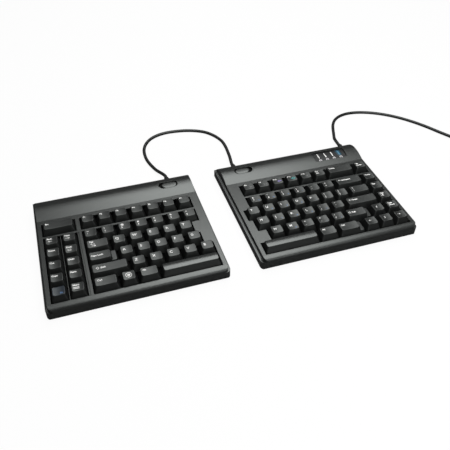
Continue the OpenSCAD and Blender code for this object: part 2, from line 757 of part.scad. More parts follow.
// Cap whose right end is cut down to a low ledge
module stepped_top(cells, tilt) {
    edge_x = (cells * key_pitch - cap_gap) / 2;
    ledge_z = cap_h - step_drop;
    lean = cap_taper / 2 / cap_h;
    wall_x = edge_x - step_w;
    difference() {
        cap_form(cells, cap_front_lean, tilt, 0, cap_h);
        edge_bevels(cells, cap_front_lean);
        translate([-step_w / 2, 0, 0]) dish(cells - step_w / key_pitch, tilt);
        rotate([90, 0, 0]) linear_extrude(key_pitch, center = true) polygon([
            [wall_x - lean * ledge_z, ledge_z], [edge_x, ledge_z],
            [edge_x, 2 * cap_h], [wall_x - lean * 2 * cap_h, 2 * cap_h]
        ]);
    }
}

module keycap(cell) {
    cells = cell[2];
    tilt = row_tilt[cell[1]];
    translate([0, 0, skirt_z]) {
        difference() {
            if (cell[3] == CROWNED) crowned_top(cells);
            else if (cell[3] == STEPPED) stepped_top(cells, tilt);
            else dished_top(cells, tilt);
            hollow_cells = cell[3] == STEPPED ? cells - step_w / key_pitch : cells;
            hollow_x = cell[3] == STEPPED ? -step_w / 2 : 0;
            front_lean = cell[3] == CROWNED ? bar_front_lean : cap_front_lean;
            translate([hollow_x, 0, -eps]) cap_form(hollow_cells, front_lean, 0, cap_wall, cap_h - cap_roof);
        }
        for (leg = legs_of(cell)) translate([leg[0], 0, stem_z - skirt_z])
            cylinder(d = leg[1], h = skirt_z - stem_z + cap_h - cap_roof + eps);
    }
}

module keys(side, cells) {
    color(cap_black) on_half(side) at_cells(cells) keycap($cell);
}

module screws() {
    for (x = screw_xs) translate([x, screw_y, floor_z]) {
        cylinder(d = screw_head_d, h = screw_head_h);
        cylinder(d = screw_d, h = crest_z - wall - floor_z - screw_end_gap);
    }
}

module feet() {
    for (x = foot_xs, y = foot_ys) translate([x, y, 0])
        cylinder(d = foot_d, h = foot_h + foot_pocket);
}

// Oval crowned slider that fills the inner end of its window
module release_latch(side) {
    l = latch_window_l - 2 * slide_clear - latch_travel;
    w = latch_window_w - 2 * slide_clear;
    shift = latch_travel / 2;
    y = crest_y - latch_setback;
    from_inner_edge(side, latch_inset) {
        intersection() {
            hump_skin(-latch_window_l, latch_window_l, slide_clear, wall + 2 * slide_clear);
            translate([shift, y, 0]) linear_extrude(crest_z) stadium(l, w);
            translate([0, y, crest_z - slide_clear - latch_crown_r]) rotate([0, 90, 0])
                cylinder(r = latch_crown_r, h = 2 * latch_window_l, center = true, $fn = 96);
        }
        intersection() {
            hump_skin(-latch_window_l, latch_window_l, wall + slide_clear,
                wall + slide_clear + latch_flange_t);
            translate([shift, y, 0]) linear_extrude(crest_z)
                square([l + 2 * latch_flange, w + 2 * latch_flange], center = true);
        }
    }
}

// Turned rubber gland with its flange inside the rear wall
module gland() {
    shoulder_end = gland_shoulder_y + gland_shoulder_t;
    rotate([-90, 0, 0]) rotate_extrude() polygon([
        [0, gland_flange_y - gland_flange_t], [gland_flange_d / 2, gland_flange_y - gland_flange_t],
        [gland_flange_d / 2, gland_flange_y], [gland_neck_d / 2, gland_flange_y],
        [gland_neck_d / 2, gland_shoulder_y], [gland_shoulder_d / 2, gland_shoulder_y],
        [gland_shoulder_d / 2, shoulder_end], [gland_collar_d / 2, shoulder_end],
        [gland_tip_d / 2, gland_tip_y], [0, gland_tip_y]
    ]);
}

module light_bars(grow, bottom) {
    first = panel_x + panel_w / 2 - (light_count - 1) / 2 * light_pitch - light_w / 2;
    for (i = [0:light_count - 1])
        block([first + i * light_pitch - grow, light_front - grow, bottom],
            [first + i * light_pitch + light_w + grow, light_front + light_l + grow, crest_z]);
}

module indicator_panel_body() {
    difference() {
        union() {
            intersection() {
                hump_skin(panel_x, panel_x + panel_w, panel_sink, wall + 2 * fixed_clear);
                linear_extrude(crest_z) panel_plan(fixed_clear);
            }
            intersection() {
                hump_skin(panel_x - panel_lip, panel_x + panel_w + panel_lip, wall + fixed_clear,
                    wall + fixed_clear + panel_lip_t);
                block([panel_x - panel_lip, panel_front - panel_lip, 0],
                    [panel_x + panel_w + panel_lip, panel_front + panel_d + panel_lip, crest_z]);
            }
        }
        light_bars(fixed_clear, 0);
    }
}

// Tube swept along a route, with its two ends square to their directions
function unit(v) = v / norm(v);
function direction(route, i) = unit(route[min(i + 1, len(route) - 1)] - route[max(i - 1, 0)]);
function ring(route, i, r, sides) = let (
    ahead = direction(route, i),
    across = unit(cross([0, 0, 1], ahead)),
    above = cross(ahead, across)
) [for (k = [0:sides - 1]) route[i] + r * (cos(360 * k / sides) * across + sin(360 * k / sides) * above)];

module tube(route, d, sides) {
    last = len(route) - 1;
    points = [for (i = [0:last]) each ring(route, i, d / 2, sides)];
    walls = [
        for (i = [0:last - 1], k = [0:sides - 1])
            let (a = i * sides + k, b = i * sides + (k + 1) % sides)
                each [[a, b + sides, b], [a, a + sides, b + sides]]
    ];
    caps = [
        for (k = [1:sides - 2])
            each [[0, k, k + 1], [last * sides, last * sides + k + 1, last * sides + k]]
    ];
    polyhedron(points, concat(walls, caps));
}

module left_bottom_tray() { color(black) on_half(LEFT) bottom_tray(LEFT); }
module right_bottom_tray() { color(black) on_half(RIGHT) bottom_tray(RIGHT); }
module left_top_cover() { color(charcoal) on_half(LEFT) top_cover(LEFT); }
module right_top_cover() { color(charcoal) on_half(RIGHT) top_cover(RIGHT); }
module left_backing_plate() { color(steel) on_half(LEFT) field_layer(floor_z, plate_top); }
module right_backing_plate() { color(steel) on_half(RIGHT) field_layer(floor_z, plate_top); }
module left_membrane() { color("lightsteelblue") on_half(LEFT) membrane(LEFT); }
module right_membrane() { color("lightsteelblue") on_half(RIGHT) membrane(RIGHT); }
module left_dome_sheet() { color("gainsboro") on_half(LEFT) dome_sheet(LEFT); }
module right_dome_sheet() { color("gainsboro") on_half(RIGHT) dome_sheet(RIGHT); }
module left_guide_frame() { color(black) on_half(LEFT) guide_frame(LEFT); }
module right_guide_frame() { color(black) on_half(RIGHT) guide_frame(RIGHT); }
module left_link_board() { color("darkgreen") on_half(LEFT) board(LEFT, link_board); }
module controller_board() { color("darkgreen") on_half(RIGHT) board(RIGHT, controller_board_size); }
module left_screws() { color(steel) on_half(LEFT) screws(); }
module right_screws() { color(steel) on_half(RIGHT) screws(); }
module left_feet() { color(rubber) on_half(LEFT) feet(); }
module right_feet() { color(rubber) on_half(RIGHT) feet(); }
module left_release_latch() { color(charcoal) on_half(LEFT) release_latch(LEFT); }
module right_release_latch() { color(charcoal) on_half(RIGHT) release_latch(RIGHT); }
module left_link_gland() { color(rubber) on_half(LEFT) cord_exits(LEFT) gland(); }
module right_cord_glands() { color(rubber) on_half(RIGHT) cord_exits(RIGHT) gland(); }
module indicator_panel() { color(black) on_half(RIGHT) indicator_panel_body(); }
module indicator_lights() {
    color("white") on_half(RIGHT) intersection() {
        light_bars(0, board_z + board_t);
        along_x(panel_x, panel_x + panel_w) case_outline(panel_sink - light_rise, 0);
    }
}

module esc_key() { keys(LEFT, esc_cells); }
module left_function_keys() { keys(LEFT, left_function_cells); }
module hot_keys() { keys(LEFT, hot_key_cells); }
module left_number_keys() { keys(LEFT, left_number_cells); }
module tab_key() { keys(LEFT, tab_cells); }
module left_upper_letter_keys() { keys(LEFT, left_upper_cells); }
module caps_lock_key() { keys(LEFT, caps_lock_cells); }
module left_home_letter_keys() { keys(LEFT, left_home_cells); }
module left_shift_key() { keys(LEFT, left_shift_cells); }
module left_lower_letter_keys() { keys(LEFT, left_lower_cells); }
module left_control_key() { keys(LEFT, left_control_cells); }
module system_key() { keys(LEFT, system_cells); }
module left_alt_key() { keys(LEFT, left_alt_cells); }
module left_space_bar() { keys(LEFT, left_space_cells); }
module right_function_keys() { keys(RIGHT, right_function_cells); }
module delete_key() { keys(RIGHT, delete_cells); }
module right_number_keys() { keys(RIGHT, right_number_cells); }
module backspace_key() { keys(RIGHT, backspace_cells); }
module right_upper_letter_keys() { keys(RIGHT, right_upper_cells); }
module backslash_key() { keys(RIGHT, backslash_cells); }
module right_home_letter_keys() { keys(RIGHT, right_home_cells); }
module enter_key() { keys(RIGHT, enter_cells); }
module right_lower_letter_keys() { keys(RIGHT, right_lower_cells); }
module right_shift_key() { keys(RIGHT, right_shift_cells); }
module right_space_bar() { keys(RIGHT, right_space_cells); }
module right_alt_key() { keys(RIGHT, right_alt_cells); }
module right_control_key() { keys(RIGHT, right_control_cells); }
module arrow_keys() { keys(RIGHT, arrow_cells); }
module navigation_keys() { keys(RIGHT, navigation_cells); }

module link_cord() { color(black) tube(link_route, cord_d, cord_sides); }
module usb_cord() { color(black) tube(usb_route, cord_d, cord_sides); }
module usb_coil() { color(black) tube(coil_route, cord_d, coil_sides); }

// Plug with a tapered neck, a moulded grip and a steel shell with its tongue
module usb_plug() {
    grip_y = plug_y - plug_neck_l;
    shell_y = grip_y - plug_grip[1];
    color(black) translate([coil_start[0], 0, plug_z]) {
        translate([0, plug_y, 0]) rotate([90, 0, 0])
            cylinder(d1 = plug_neck_tip_d, d2 = plug_neck_d, h = plug_neck_l + eps);
        translate([0, grip_y, 0]) rotate([90, 0, 0]) linear_extrude(plug_grip[1])
            rounded_plan(-plug_grip[0] / 2, plug_grip[0] / 2, -plug_grip[2] / 2, plug_grip[2] / 2,
                plug_grip_r);
        translate([0, shell_y + eps, plug_shell[2] / 4]) rotate([90, 0, 0])
            linear_extrude(plug_tongue[1]) square([plug_tongue[0], plug_tongue[2]], center = true);
    }
    color(steel) translate([coil_start[0], shell_y, plug_z]) rotate([90, 0, 0])
        linear_extrude(plug_shell[1]) difference() {
            square([plug_shell[0], plug_shell[2]], center = true);
            square([plug_shell[0] - 2 * plug_shell_t, plug_shell[2] - 2 * plug_shell_t], center = true);
        }
}

// Flat strap looped round the bundle of turns
module cord_tie() {
    r0 = coil_in_r - cord_d / 2 - slide_clear;
    r1 = coil_out_r + cord_d / 2 + slide_clear;
    z0 = coil_low_z - cord_d / 2 - slide_clear;
    z1 = coil_top_z + cord_d / 2 + slide_clear;
    color("dimgray") translate([coil_x, coil_y, 0]) difference() {
        block([-r1 - tie_t, -tie_w / 2, z0 - tie_t], [-r0 + tie_t, tie_w / 2, z1 + tie_t]);
        block([-r1, -tie_w, z0], [-r0, tie_w, z1]);
    }
}

left_bottom_tray();
left_top_cover();
left_backing_plate();
left_membrane();
left_dome_sheet();
left_guide_frame();
left_link_board();
left_screws();
left_feet();
left_release_latch();
left_link_gland();
esc_key();
left_function_keys();
hot_keys();
left_number_keys();
tab_key();
left_upper_letter_keys();
caps_lock_key();
left_home_letter_keys();
left_shift_key();
left_lower_letter_keys();
left_control_key();
system_key();
left_alt_key();
left_space_bar();
right_bottom_tray();
right_top_cover();
right_backing_plate();
right_membrane();
right_dome_sheet();
right_guide_frame();
controller_board();
right_screws();
right_feet();
right_release_latch();
right_cord_glands();
indicator_panel();
indicator_lights();
right_function_keys();
delete_key();
right_number_keys();
backspace_key();
right_upper_letter_keys();
backslash_key();
right_home_letter_keys();
enter_key();
right_lower_letter_keys();
right_shift_key();
right_space_bar();
right_alt_key();
right_control_key();
arrow_keys();
navigation_keys();
link_cord();
usb_cord();
usb_coil();
usb_plug();
cord_tie();
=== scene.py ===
# %% [markdown]
# # A split keyboard on a white desk
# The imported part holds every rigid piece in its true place. This lesson dresses it: the camera and
# the two cords come first, then the finishes, the small rubber and metal pieces, the case with its
# rims and sliders, the key caps with their printing, the indicators, and last the studio.

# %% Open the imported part
import math

import bpy
from mathutils import Matrix, Vector


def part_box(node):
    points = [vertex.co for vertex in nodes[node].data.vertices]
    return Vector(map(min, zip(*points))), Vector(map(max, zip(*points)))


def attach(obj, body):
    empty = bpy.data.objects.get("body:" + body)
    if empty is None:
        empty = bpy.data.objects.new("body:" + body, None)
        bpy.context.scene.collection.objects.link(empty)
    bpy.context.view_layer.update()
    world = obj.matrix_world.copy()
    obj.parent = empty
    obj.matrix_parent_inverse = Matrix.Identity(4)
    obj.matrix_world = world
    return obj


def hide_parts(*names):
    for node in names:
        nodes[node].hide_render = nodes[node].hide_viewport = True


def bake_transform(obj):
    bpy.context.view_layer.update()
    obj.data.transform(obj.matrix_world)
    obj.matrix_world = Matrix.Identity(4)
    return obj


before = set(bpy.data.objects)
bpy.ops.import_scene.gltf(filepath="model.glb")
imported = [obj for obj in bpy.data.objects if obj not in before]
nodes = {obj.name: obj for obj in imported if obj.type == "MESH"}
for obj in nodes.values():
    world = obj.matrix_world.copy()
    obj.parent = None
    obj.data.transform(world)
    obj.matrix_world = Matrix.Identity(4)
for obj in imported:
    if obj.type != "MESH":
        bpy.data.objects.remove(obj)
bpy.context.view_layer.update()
MM = 0.001

# %% [markdown]
# ## The camera
# The photograph was taken from in front and a little to the left, looking down. The angles come from
# fitting a pinhole camera to the grid of key caps, so the camera is built from those angles and not
# by eye: its three axes are made from azimuth, elevation and a slight roll.

# %% Camera from the fitted angles
CAMERA_PLACE = Vector((-0.1558, -0.47665, 0.4584))
AZIMUTH, ELEVATION, ROLL = (math.radians(d) for d in (-18.606, 42.807, 0.87))
LENS_MM = 45.0

backward = Vector((math.sin(AZIMUTH) * math.cos(ELEVATION),
                   -math.cos(AZIMUTH) * math.cos(ELEVATION), math.sin(ELEVATION)))
level = Vector((math.cos(AZIMUTH), math.sin(AZIMUTH), 0))
upright = backward.cross(level)
camera_x = level * math.cos(ROLL) + upright * math.sin(ROLL)
camera_y = upright * math.cos(ROLL) - level * math.sin(ROLL)

camera_data = bpy.data.cameras.new("camera")
camera_data.lens = LENS_MM
camera_data.sensor_width = 36.0
camera_data.clip_start = 0.01
camera = bpy.data.objects.new("camera", camera_data)
bpy.context.scene.collection.objects.link(camera)
turn = Matrix((camera_x, camera_y, backward)).transposed().to_4x4()
camera.matrix_world = Matrix.Translation(CAMERA_PLACE) @ turn
bpy.context.scene.camera = camera
print("camera at", [round(v, 3) for v in CAMERA_PLACE])

# %% [markdown]
# ## Helpers that turn lists of points into pieces
# Most pieces here are made as plain meshes, which ride with their bodies without surprises.
# One helper links a mesh as a piece. Another closes a stack of rings into a solid form, and tubes,
# turned forms and boxes are all made with it.

# %% Mesh helpers
def piece_from(name, verts, faces, materials=(), smooth=True):
    mesh = bpy.data.meshes.new(name)
    mesh.from_pydata([tuple(v) for v in verts], [], faces)
    for material in materials:
        mesh.materials.append(material)
    mesh.polygons.foreach_set("use_smooth", [smooth] * len(mesh.polygons))
    obj = bpy.data.objects.new(name, mesh)
    bpy.context.scene.collection.objects.link(obj)
    return obj


def stacked(rings):
    """Closed form from rings of points of one count, the first one on top."""
    n = len(rings[0])
    faces = [(i * n + k, (i + 1) * n + k, (i + 1) * n + (k + 1) % n, i * n + (k + 1) % n)
             for i in range(len(rings) - 1) for k in range(n)]
    faces += [tuple(range(n)), tuple((len(rings) - 1) * n + k for k in reversed(range(n)))]
    return [Vector(p) for ring in rings for p in ring], faces


def joined(parts):
    """One list of points and one of faces from several (points, faces) parts."""
    verts, faces = [], []
    for part_verts, part_faces in parts:
        base = len(verts)
        verts += part_verts
        faces += [tuple(base + i for i in face) for face in part_faces]
    return verts, faces


def angles_round(sides):
    return [2 * math.pi * k / sides for k in range(sides)]


def swept_tube(path, radius, sides=14):
    """Closed tube whose rings are carried along the path without twisting."""
    points = [Vector(p) for p in path]
    rings, across = [], None
    for i, p in enumerate(points):
        ahead = (points[min(i + 1, len(points) - 1)] - points[max(i - 1, 0)]).normalized()
        guess = across if across is not None else Vector((0, 0, 1)).cross(ahead)
        across = (guess - ahead * guess.dot(ahead)).normalized()
        above = ahead.cross(across)
        rings.append([p + (across * math.cos(a) + above * math.sin(a)) * radius for a in angles_round(sides)])
    return stacked(rings[::-1])


def turned(profile, sides=32):
    """Closed lathe form round the Y axis from (radius, y) pairs."""
    return stacked([[(r * math.cos(a), y, r * math.sin(a)) for a in angles_round(sides)] for r, y in profile])


def box_form(low, high):
    """Closed box between two corners."""
    (x0, y0, z0), (x1, y1, z1) = low, high
    return stacked([[(x0, y0, z), (x1, y0, z), (x1, y1, z), (x0, y1, z)] for z in (z1, z0)])


def soft_ring(half_x, half_y, r, steps):
    """Points round a rectangle whose corners have the radius r, starting at its right side."""
    ring = []
    for qx, qy, start in ((1, 1, 0), (-1, 1, 90), (-1, -1, 180), (1, -1, 270)):
        for k in range(steps + 1):
            a = math.radians(start + 90 * k / steps)
            ring.append((qx * (half_x - r) + r * math.cos(a), qy * (half_y - r) + r * math.sin(a)))
    return ring


def curved_through(points, steps):
    """Catmull-Rom curve through the points, with so many steps from one to the next."""
    pts = [Vector(p) for p in points]
    out = []
    for i in range(len(pts) - 1):
        p0, p1, p2, p3 = pts[max(i - 1, 0)], pts[i], pts[i + 1], pts[min(i + 2, len(pts) - 1)]
        for s in range(steps):
            t = s / steps
            out.append(0.5 * (2 * p1 + (p2 - p0) * t + (2 * p0 - 5 * p1 + 4 * p2 - p3) * t * t
                              + (3 * p1 - p0 - 3 * p2 + p3) * t ** 3))
    return out + [pts[-1]]


def length_of(path):
    return sum((Vector(b) - Vector(a)).length for a, b in zip(path, path[1:]))


print("a box has", len(box_form((0, 0, 0), (1, 1, 1))[1]), "faces")

# %% [markdown]
# ## The two cords
# A limp black cord of a good 4 mm joins the halves, and the USB cord leaves the right half and runs
# out of the picture. The rest of the USB cord is put away as a neat tied coil beside the desk view.
# The points keep to the routes of the solid model, and a smooth curve is drawn through them. Both cords
# are meshes.

# %% Routes of the cords
CORD_D = 0.0043
DESK_Z = CORD_D / 2 + 0.0001
SOLID_GLAND_R, GLAND_SHOULDER_R = 0.004, 0.0032
gland_low, gland_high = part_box("left_link_gland")
EXIT_Z = (gland_low.z + gland_high.z) / 2
GLAND_TIP_Y = gland_high.y
LINK_X = -(gland_low.x + gland_high.x) / 2
USB_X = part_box("right_cord_glands")[1].x - SOLID_GLAND_R

# Across as a share of LINK_X, millimetres behind the glands, height as a share of the glands' height.
link_lay = [
    (-1, 0, 1), (-1, 3, 1), (-1.035, 8.5, 0.86), (-1.1, 16, 0.57), (-1.165, 23.5, 0.28),
    (-1.22, 32.5, 0.05), (-1.28, 42.5, 0), (-1.32, 53.5, 0), (-1.32, 65.5, 0), (-1.28, 77, 0),
    (-1.17, 88.5, 0), (-0.97, 99, 0), (-0.7, 105.5, 0), (-0.41, 108, 0), (-0.1, 107.5, 0),
    (0.22, 105, 0), (0.54, 99.5, 0), (0.79, 92, 0), (0.99, 80, 0), (1.12, 65.5, 0), (1.145, 50.5, 0),
    (1.12, 35.5, 0.1), (1.08, 23.5, 0.5), (1.04, 14.5, 0.9), (1, 4, 1), (1, 0, 1)]
# The same for the USB cord, but in millimetres across from its gland; it climbs to the coil's top.
usb_lay = [
    (0, 0, 1), (0, 4, 1), (1.5, 16.5, 0.8), (5, 25, 0.34), (9, 34, 0.07), (13.5, 45, 0), (19, 56.5, 0),
    (27, 67, 0), (38, 74.5, 0), (51, 78, 0), (65, 77.5, 0), (80, 73.5, 0), (95, 66.5, 0), (110, 56.5, 0),
    (124, 44, 0), (137, 29, 0), (148.5, 12.5, 0)]
usb_climb = [
    (158, -5, 0.02), (165.5, -23, 0.13), (171, -41.5, 0.32), (174.5, -60, 0.56), (176.4, -78.5, 0.79),
    (177, -96.5, 0.95), (177, -106.5, 1), (177, -114.5, 1)]

COIL_PITCH, COIL_TURNS, COIL_LAYERS = CORD_D + 0.0006, 2.5, 4
COIL_MID_R, COIL_LOW_Z = 5.5 * CORD_D, 0.0031
COIL_OUT_R = COIL_MID_R + COIL_PITCH * COIL_TURNS / 2
COIL_TOP_Z = COIL_LOW_Z + (COIL_LAYERS - 1) * COIL_PITCH


def lifted(part, top):
    return DESK_Z + part * (top - DESK_Z)


link_path = curved_through(
    [(x * LINK_X, GLAND_TIP_Y + y * MM, lifted(h, EXIT_Z)) for x, y, h in link_lay], 5)
usb_points = [(USB_X + x * MM, GLAND_TIP_Y + y * MM, lifted(h, EXIT_Z)) for x, y, h in usb_lay]
usb_points += [(USB_X + x * MM, GLAND_TIP_Y + y * MM, lifted(h, COIL_TOP_Z)) for x, y, h in usb_climb]
coil_start = Vector(usb_points[-1])
coil_centre = coil_start + Vector((-COIL_OUT_R, -CORD_D, 0))


def coil_point(turns):
    """A point of the coil, which winds in and out from its top layer down to the desk."""
    in_pair = turns % (2 * COIL_TURNS)
    inward = in_pair if in_pair <= COIL_TURNS else 2 * COIL_TURNS - in_pair
    radius = COIL_OUT_R - COIL_PITCH * inward
    change = math.floor(turns / COIL_TURNS + 0.5)
    past = turns - change * COIL_TURNS
    if change < 1:
        drop = 0
    elif change >= COIL_LAYERS:
        drop = COIL_LAYERS - 1
    else:
        drop = change - 0.5 + max(-0.5, min(0.5, past * 2))
    angle = -2 * math.pi * turns
    return coil_centre + Vector((radius * math.cos(angle), radius * math.sin(angle), -COIL_PITCH * drop))


COIL_STEPS = 36
coil_path = [coil_point(i / COIL_STEPS) for i in range(int(COIL_LAYERS * COIL_TURNS * COIL_STEPS) + 1)]
plug_end = Vector((coil_start.x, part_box("usb_plug")[1].y, COIL_LOW_Z))
usb_path = curved_through(usb_points, 5) + coil_path + [plug_end]
print("link cord", round(length_of(link_path), 3), "m, USB cord", round(length_of(usb_path), 3), "m")

# %% [markdown]
# ## Moulded plastics, rubber and metal
# The case and caps are moulded in dark plastic with a fine spark-eroded grain, and a broad soft lamp
# gives them their grey sheen. One function makes every such finish: a fine noise for the grain, used
# as bump and as a change of roughness, and a broad faint noise so that no surface is one flat colour.
# The same function serves rubber with a coarser, duller grain.

# %% Finish makers
def node_of(tree, kind, values=None, **settings):
    """A new node with its settings and the values of its inputs."""
    node = tree.nodes.new(kind)
    for name, value in settings.items():
        setattr(node, name, value)
    for name, value in (values or {}).items():
        node.inputs[name].default_value = value
    return node


def wire(source, output, target, name):
    """Joins an output of one node to an input of another."""
    target.id_data.links.new(source.outputs[output], target.inputs[name])


SHEEN = (0.95, 1.0, 0.97, 1)
ROUGH_CHANGE, CLOUD_SCALE, RELIEF_DEEP = 0.06, 45, 0.06 * MM


def moulded(name, colour, rough, grain_mm=0.35, bump=0.25, specular=0.5, spread=0.12, edge_mm=0.0):
    """Grained plastic or rubber: colour is linear, rough the middle roughness, spread the mottling
    and edge_mm the radius at which a moulded edge catches the light."""
    material = bpy.data.materials.new(name)
    material.use_nodes = True
    material.diffuse_color = (*colour, 1)
    tree = material.node_tree
    shader = tree.nodes["Principled BSDF"]
    shader.inputs["Specular IOR Level"].default_value = specular
    shader.inputs["Specular Tint"].default_value = SHEEN
    place = node_of(tree, "ShaderNodeTexCoord")
    grain = node_of(tree, "ShaderNodeTexNoise", {"Scale": 1 / (grain_mm * MM), "Detail": 3})
    cloud = node_of(tree, "ShaderNodeTexNoise", {"Scale": CLOUD_SCALE, "Detail": 2})
    wire(place, "Object", grain, "Vector")
    wire(place, "Object", cloud, "Vector")
    tint = node_of(tree, "ShaderNodeMix", data_type="RGBA")
    tint.inputs["A"].default_value = (*[c * (1 - spread) for c in colour], 1)
    tint.inputs["B"].default_value = (*[c * (1 + spread) for c in colour], 1)
    wire(cloud, "Fac", tint, "Factor")
    wire(tint, "Result", shader, "Base Color")
    span = {"To Min": max(rough - ROUGH_CHANGE, 0.05), "To Max": min(rough + ROUGH_CHANGE, 1)}
    wear = node_of(tree, "ShaderNodeMapRange", span)
    wire(grain, "Fac", wear, "Value")
    wire(wear, "Result", shader, "Roughness")
    relief = node_of(tree, "ShaderNodeBump", {"Strength": bump, "Distance": RELIEF_DEEP})
    wire(grain, "Fac", relief, "Height")
    wire(relief, "Normal", shader, "Normal")
    if edge_mm:
        worn_edge = node_of(tree, "ShaderNodeBevel", {"Radius": edge_mm * MM}, samples=6)
        wire(worn_edge, "Normal", relief, "Normal")
    return material


def sheet_metal(name, colour, rough):
    """Rolled metal with fine lines along X."""
    material = moulded(name, colour, rough, grain_mm=0.5, bump=0.1, spread=0.05)
    tree = material.node_tree
    tree.nodes["Principled BSDF"].inputs["Metallic"].default_value = 1.0
    place = next(n for n in tree.nodes if n.type == "TEX_COORD")
    grain = next(n for n in tree.nodes if n.type == "TEX_NOISE")
    stretch = node_of(tree, "ShaderNodeMapping", {"Scale": (0.05, 1, 1)})
    wire(place, "Object", stretch, "Vector")
    wire(stretch, "Vector", grain, "Vector")
    return material


print("sheen on plastics:", SHEEN[:3])

# %% The finishes of this keyboard
cover_grey = moulded("cover_grey", (0.0095, 0.0102, 0.0099), 0.31, grain_mm=0.4, bump=0.3, specular=1.0,
                     edge_mm=0.5)
tray_black = moulded("tray_black", (0.011, 0.0117, 0.0114), 0.33, grain_mm=0.4, bump=0.3, specular=1.0)
cap_top = moulded("cap_top", (0.0115, 0.0123, 0.012), 0.34, grain_mm=0.3, bump=0.3, specular=0.75)
bar_top = moulded("bar_top", (0.02, 0.0212, 0.0208), 0.28, grain_mm=0.3, bump=0.3, specular=1.0)
# The sides, stems and hollows of the caps get this much darker copy of the cap plastic, which paints the
# shade on them.
cap_side_painted_shade = moulded("cap_side_painted_shade", (0.004, 0.0043, 0.0042), 0.42, grain_mm=0.3, bump=0.2, specular=0.6)
fn_blue = moulded("fn_blue_grey", (0.01, 0.015, 0.023), 0.36, grain_mm=0.3, bump=0.3, specular=0.7)
panel_black = moulded("panel_black", (0.014, 0.014, 0.015), 0.4, grain_mm=0.25, bump=0.1, specular=0.45)
# Near-black finish: the own colour of the guide frames and the plug's tongue, and painted shade where it
# stands for the plug's openings and the rim and window round the sliders.
black_plastic_and_painted_shade = moulded("black_plastic_and_painted_shade", (0.003, 0.003, 0.003), 0.7, bump=0.1, specular=0.1)
sheath_black = moulded("cord_sheath", (0.011, 0.011, 0.011), 0.42, grain_mm=0.5, bump=0.15)
soft_rubber = moulded("soft_rubber", (0.014, 0.014, 0.014), 0.75, grain_mm=0.6, bump=0.4, specular=0.3)
dome_rubber = moulded("dome_silicone", (0.55, 0.55, 0.52), 0.6, grain_mm=0.8, bump=0.1)
board_green = moulded("board_mask", (0.012, 0.09, 0.03), 0.35, grain_mm=1.2, bump=0.1)
film_grey = moulded("membrane_film", (0.35, 0.4, 0.45), 0.25, grain_mm=1.5, bump=0.05)
bright_steel = sheet_metal("bright_steel", (0.6, 0.61, 0.62), 0.3)
print("finishes:", len(bpy.data.materials))

# %% Cord pieces
verts, faces = swept_tube(link_path, CORD_D / 2)
link_cord = piece_from("link_cord_sheath", verts, faces, [sheath_black])
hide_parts("link_cord")
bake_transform(link_cord)

verts, faces = swept_tube(usb_path, CORD_D / 2)
usb_cord = piece_from("usb_cord_sheath", verts, faces, [sheath_black])
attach(usb_cord, "right_half")
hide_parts("usb_cord", "usb_coil")
print("cords:", len(link_cord.data.polygons), "and", len(usb_cord.data.polygons), "faces")

# %% [markdown]
# ## Glands, plug and tie
# Where a cord enters the case it runs through a small ribbed rubber gland, turned here from a
# profile. The USB cord ends in a plug: a rounded grip with finger ridges and a steel shell with a tongue.
# The shell is not cut for its two square openings on each face; thin near-black plates on it paint the
# shade in them. A flat strap holds the coil.

# %% Ribbed glands
GLAND_FLANGE_T, GLAND_SHOULDER_T, GLAND_TIP_L = 0.0018, 0.001, 0.0025
GLAND_NECK_R, GLAND_COLLAR_R, GLAND_FLANGE_R, GLAND_TIP_R = 0.0029, 0.00265, 0.0037, 0.0022
GLAND_RIBS = 3
gland_flange_y = gland_low.y + GLAND_FLANGE_T


def gland_form(x):
    rib_start = GLAND_TIP_Y - GLAND_TIP_L
    shoulder_y = rib_start - GLAND_SHOULDER_T
    soft = 0.0002
    profile = [(GLAND_FLANGE_R, gland_low.y), (GLAND_FLANGE_R, gland_flange_y),
               (GLAND_NECK_R, gland_flange_y), (GLAND_NECK_R, shoulder_y),
               (GLAND_SHOULDER_R - soft, shoulder_y), (GLAND_SHOULDER_R, shoulder_y + soft),
               (GLAND_SHOULDER_R, rib_start - soft), (GLAND_SHOULDER_R - soft, rib_start)]
    step = GLAND_TIP_L / GLAND_RIBS
    for i in range(GLAND_RIBS):
        y, r = rib_start + i * step, GLAND_COLLAR_R - i * soft / 2
        profile += [(r - soft, y + soft / 2), (r - soft, y + 0.3 * step)]
        profile += [(r, y + 0.42 * step), (r, y + 0.9 * step)]
    verts, faces = turned(profile + [(GLAND_TIP_R, GLAND_TIP_Y)])
    return [v + Vector((x, 0, EXIT_Z)) for v in verts], faces


places = (("left_link", -LINK_X, "left"), ("right_link", LINK_X, "right"), ("usb", USB_X, "right"))
for name, x, side in places:
    gland = piece_from(name + "_gland_ribbed", *gland_form(x), [soft_rubber])
    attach(gland, side + "_half")
    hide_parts("left_link_gland" if side == "left" else "right_cord_glands")
    gland.data.set_sharp_from_angle(angle=math.radians(35))

# %% Plug
PLUG_GRIP = Vector((0.016, 0.036, 0.006))
PLUG_SHELL = Vector((0.012, 0.0186, 0.0045))
PLUG_GRIP_R, GRIP_ROWS, GRIP_RIDGES, RIDGE_DEEP = 0.0022, 24, 9, 0.0004
PLUG_NECK, NECK_RINGS, NECK_R, NECK_FLARE, NECK_BITE = 0.009, 6, 0.0025, 0.0004, 0.0002
# One ring of the neck, as (out from its radius, along it).
NECK_RING = ((-0.0002, 0.0003), (-0.0002, 0.0006), (0.0001, 0.0008), (0.0001, 0.0013))


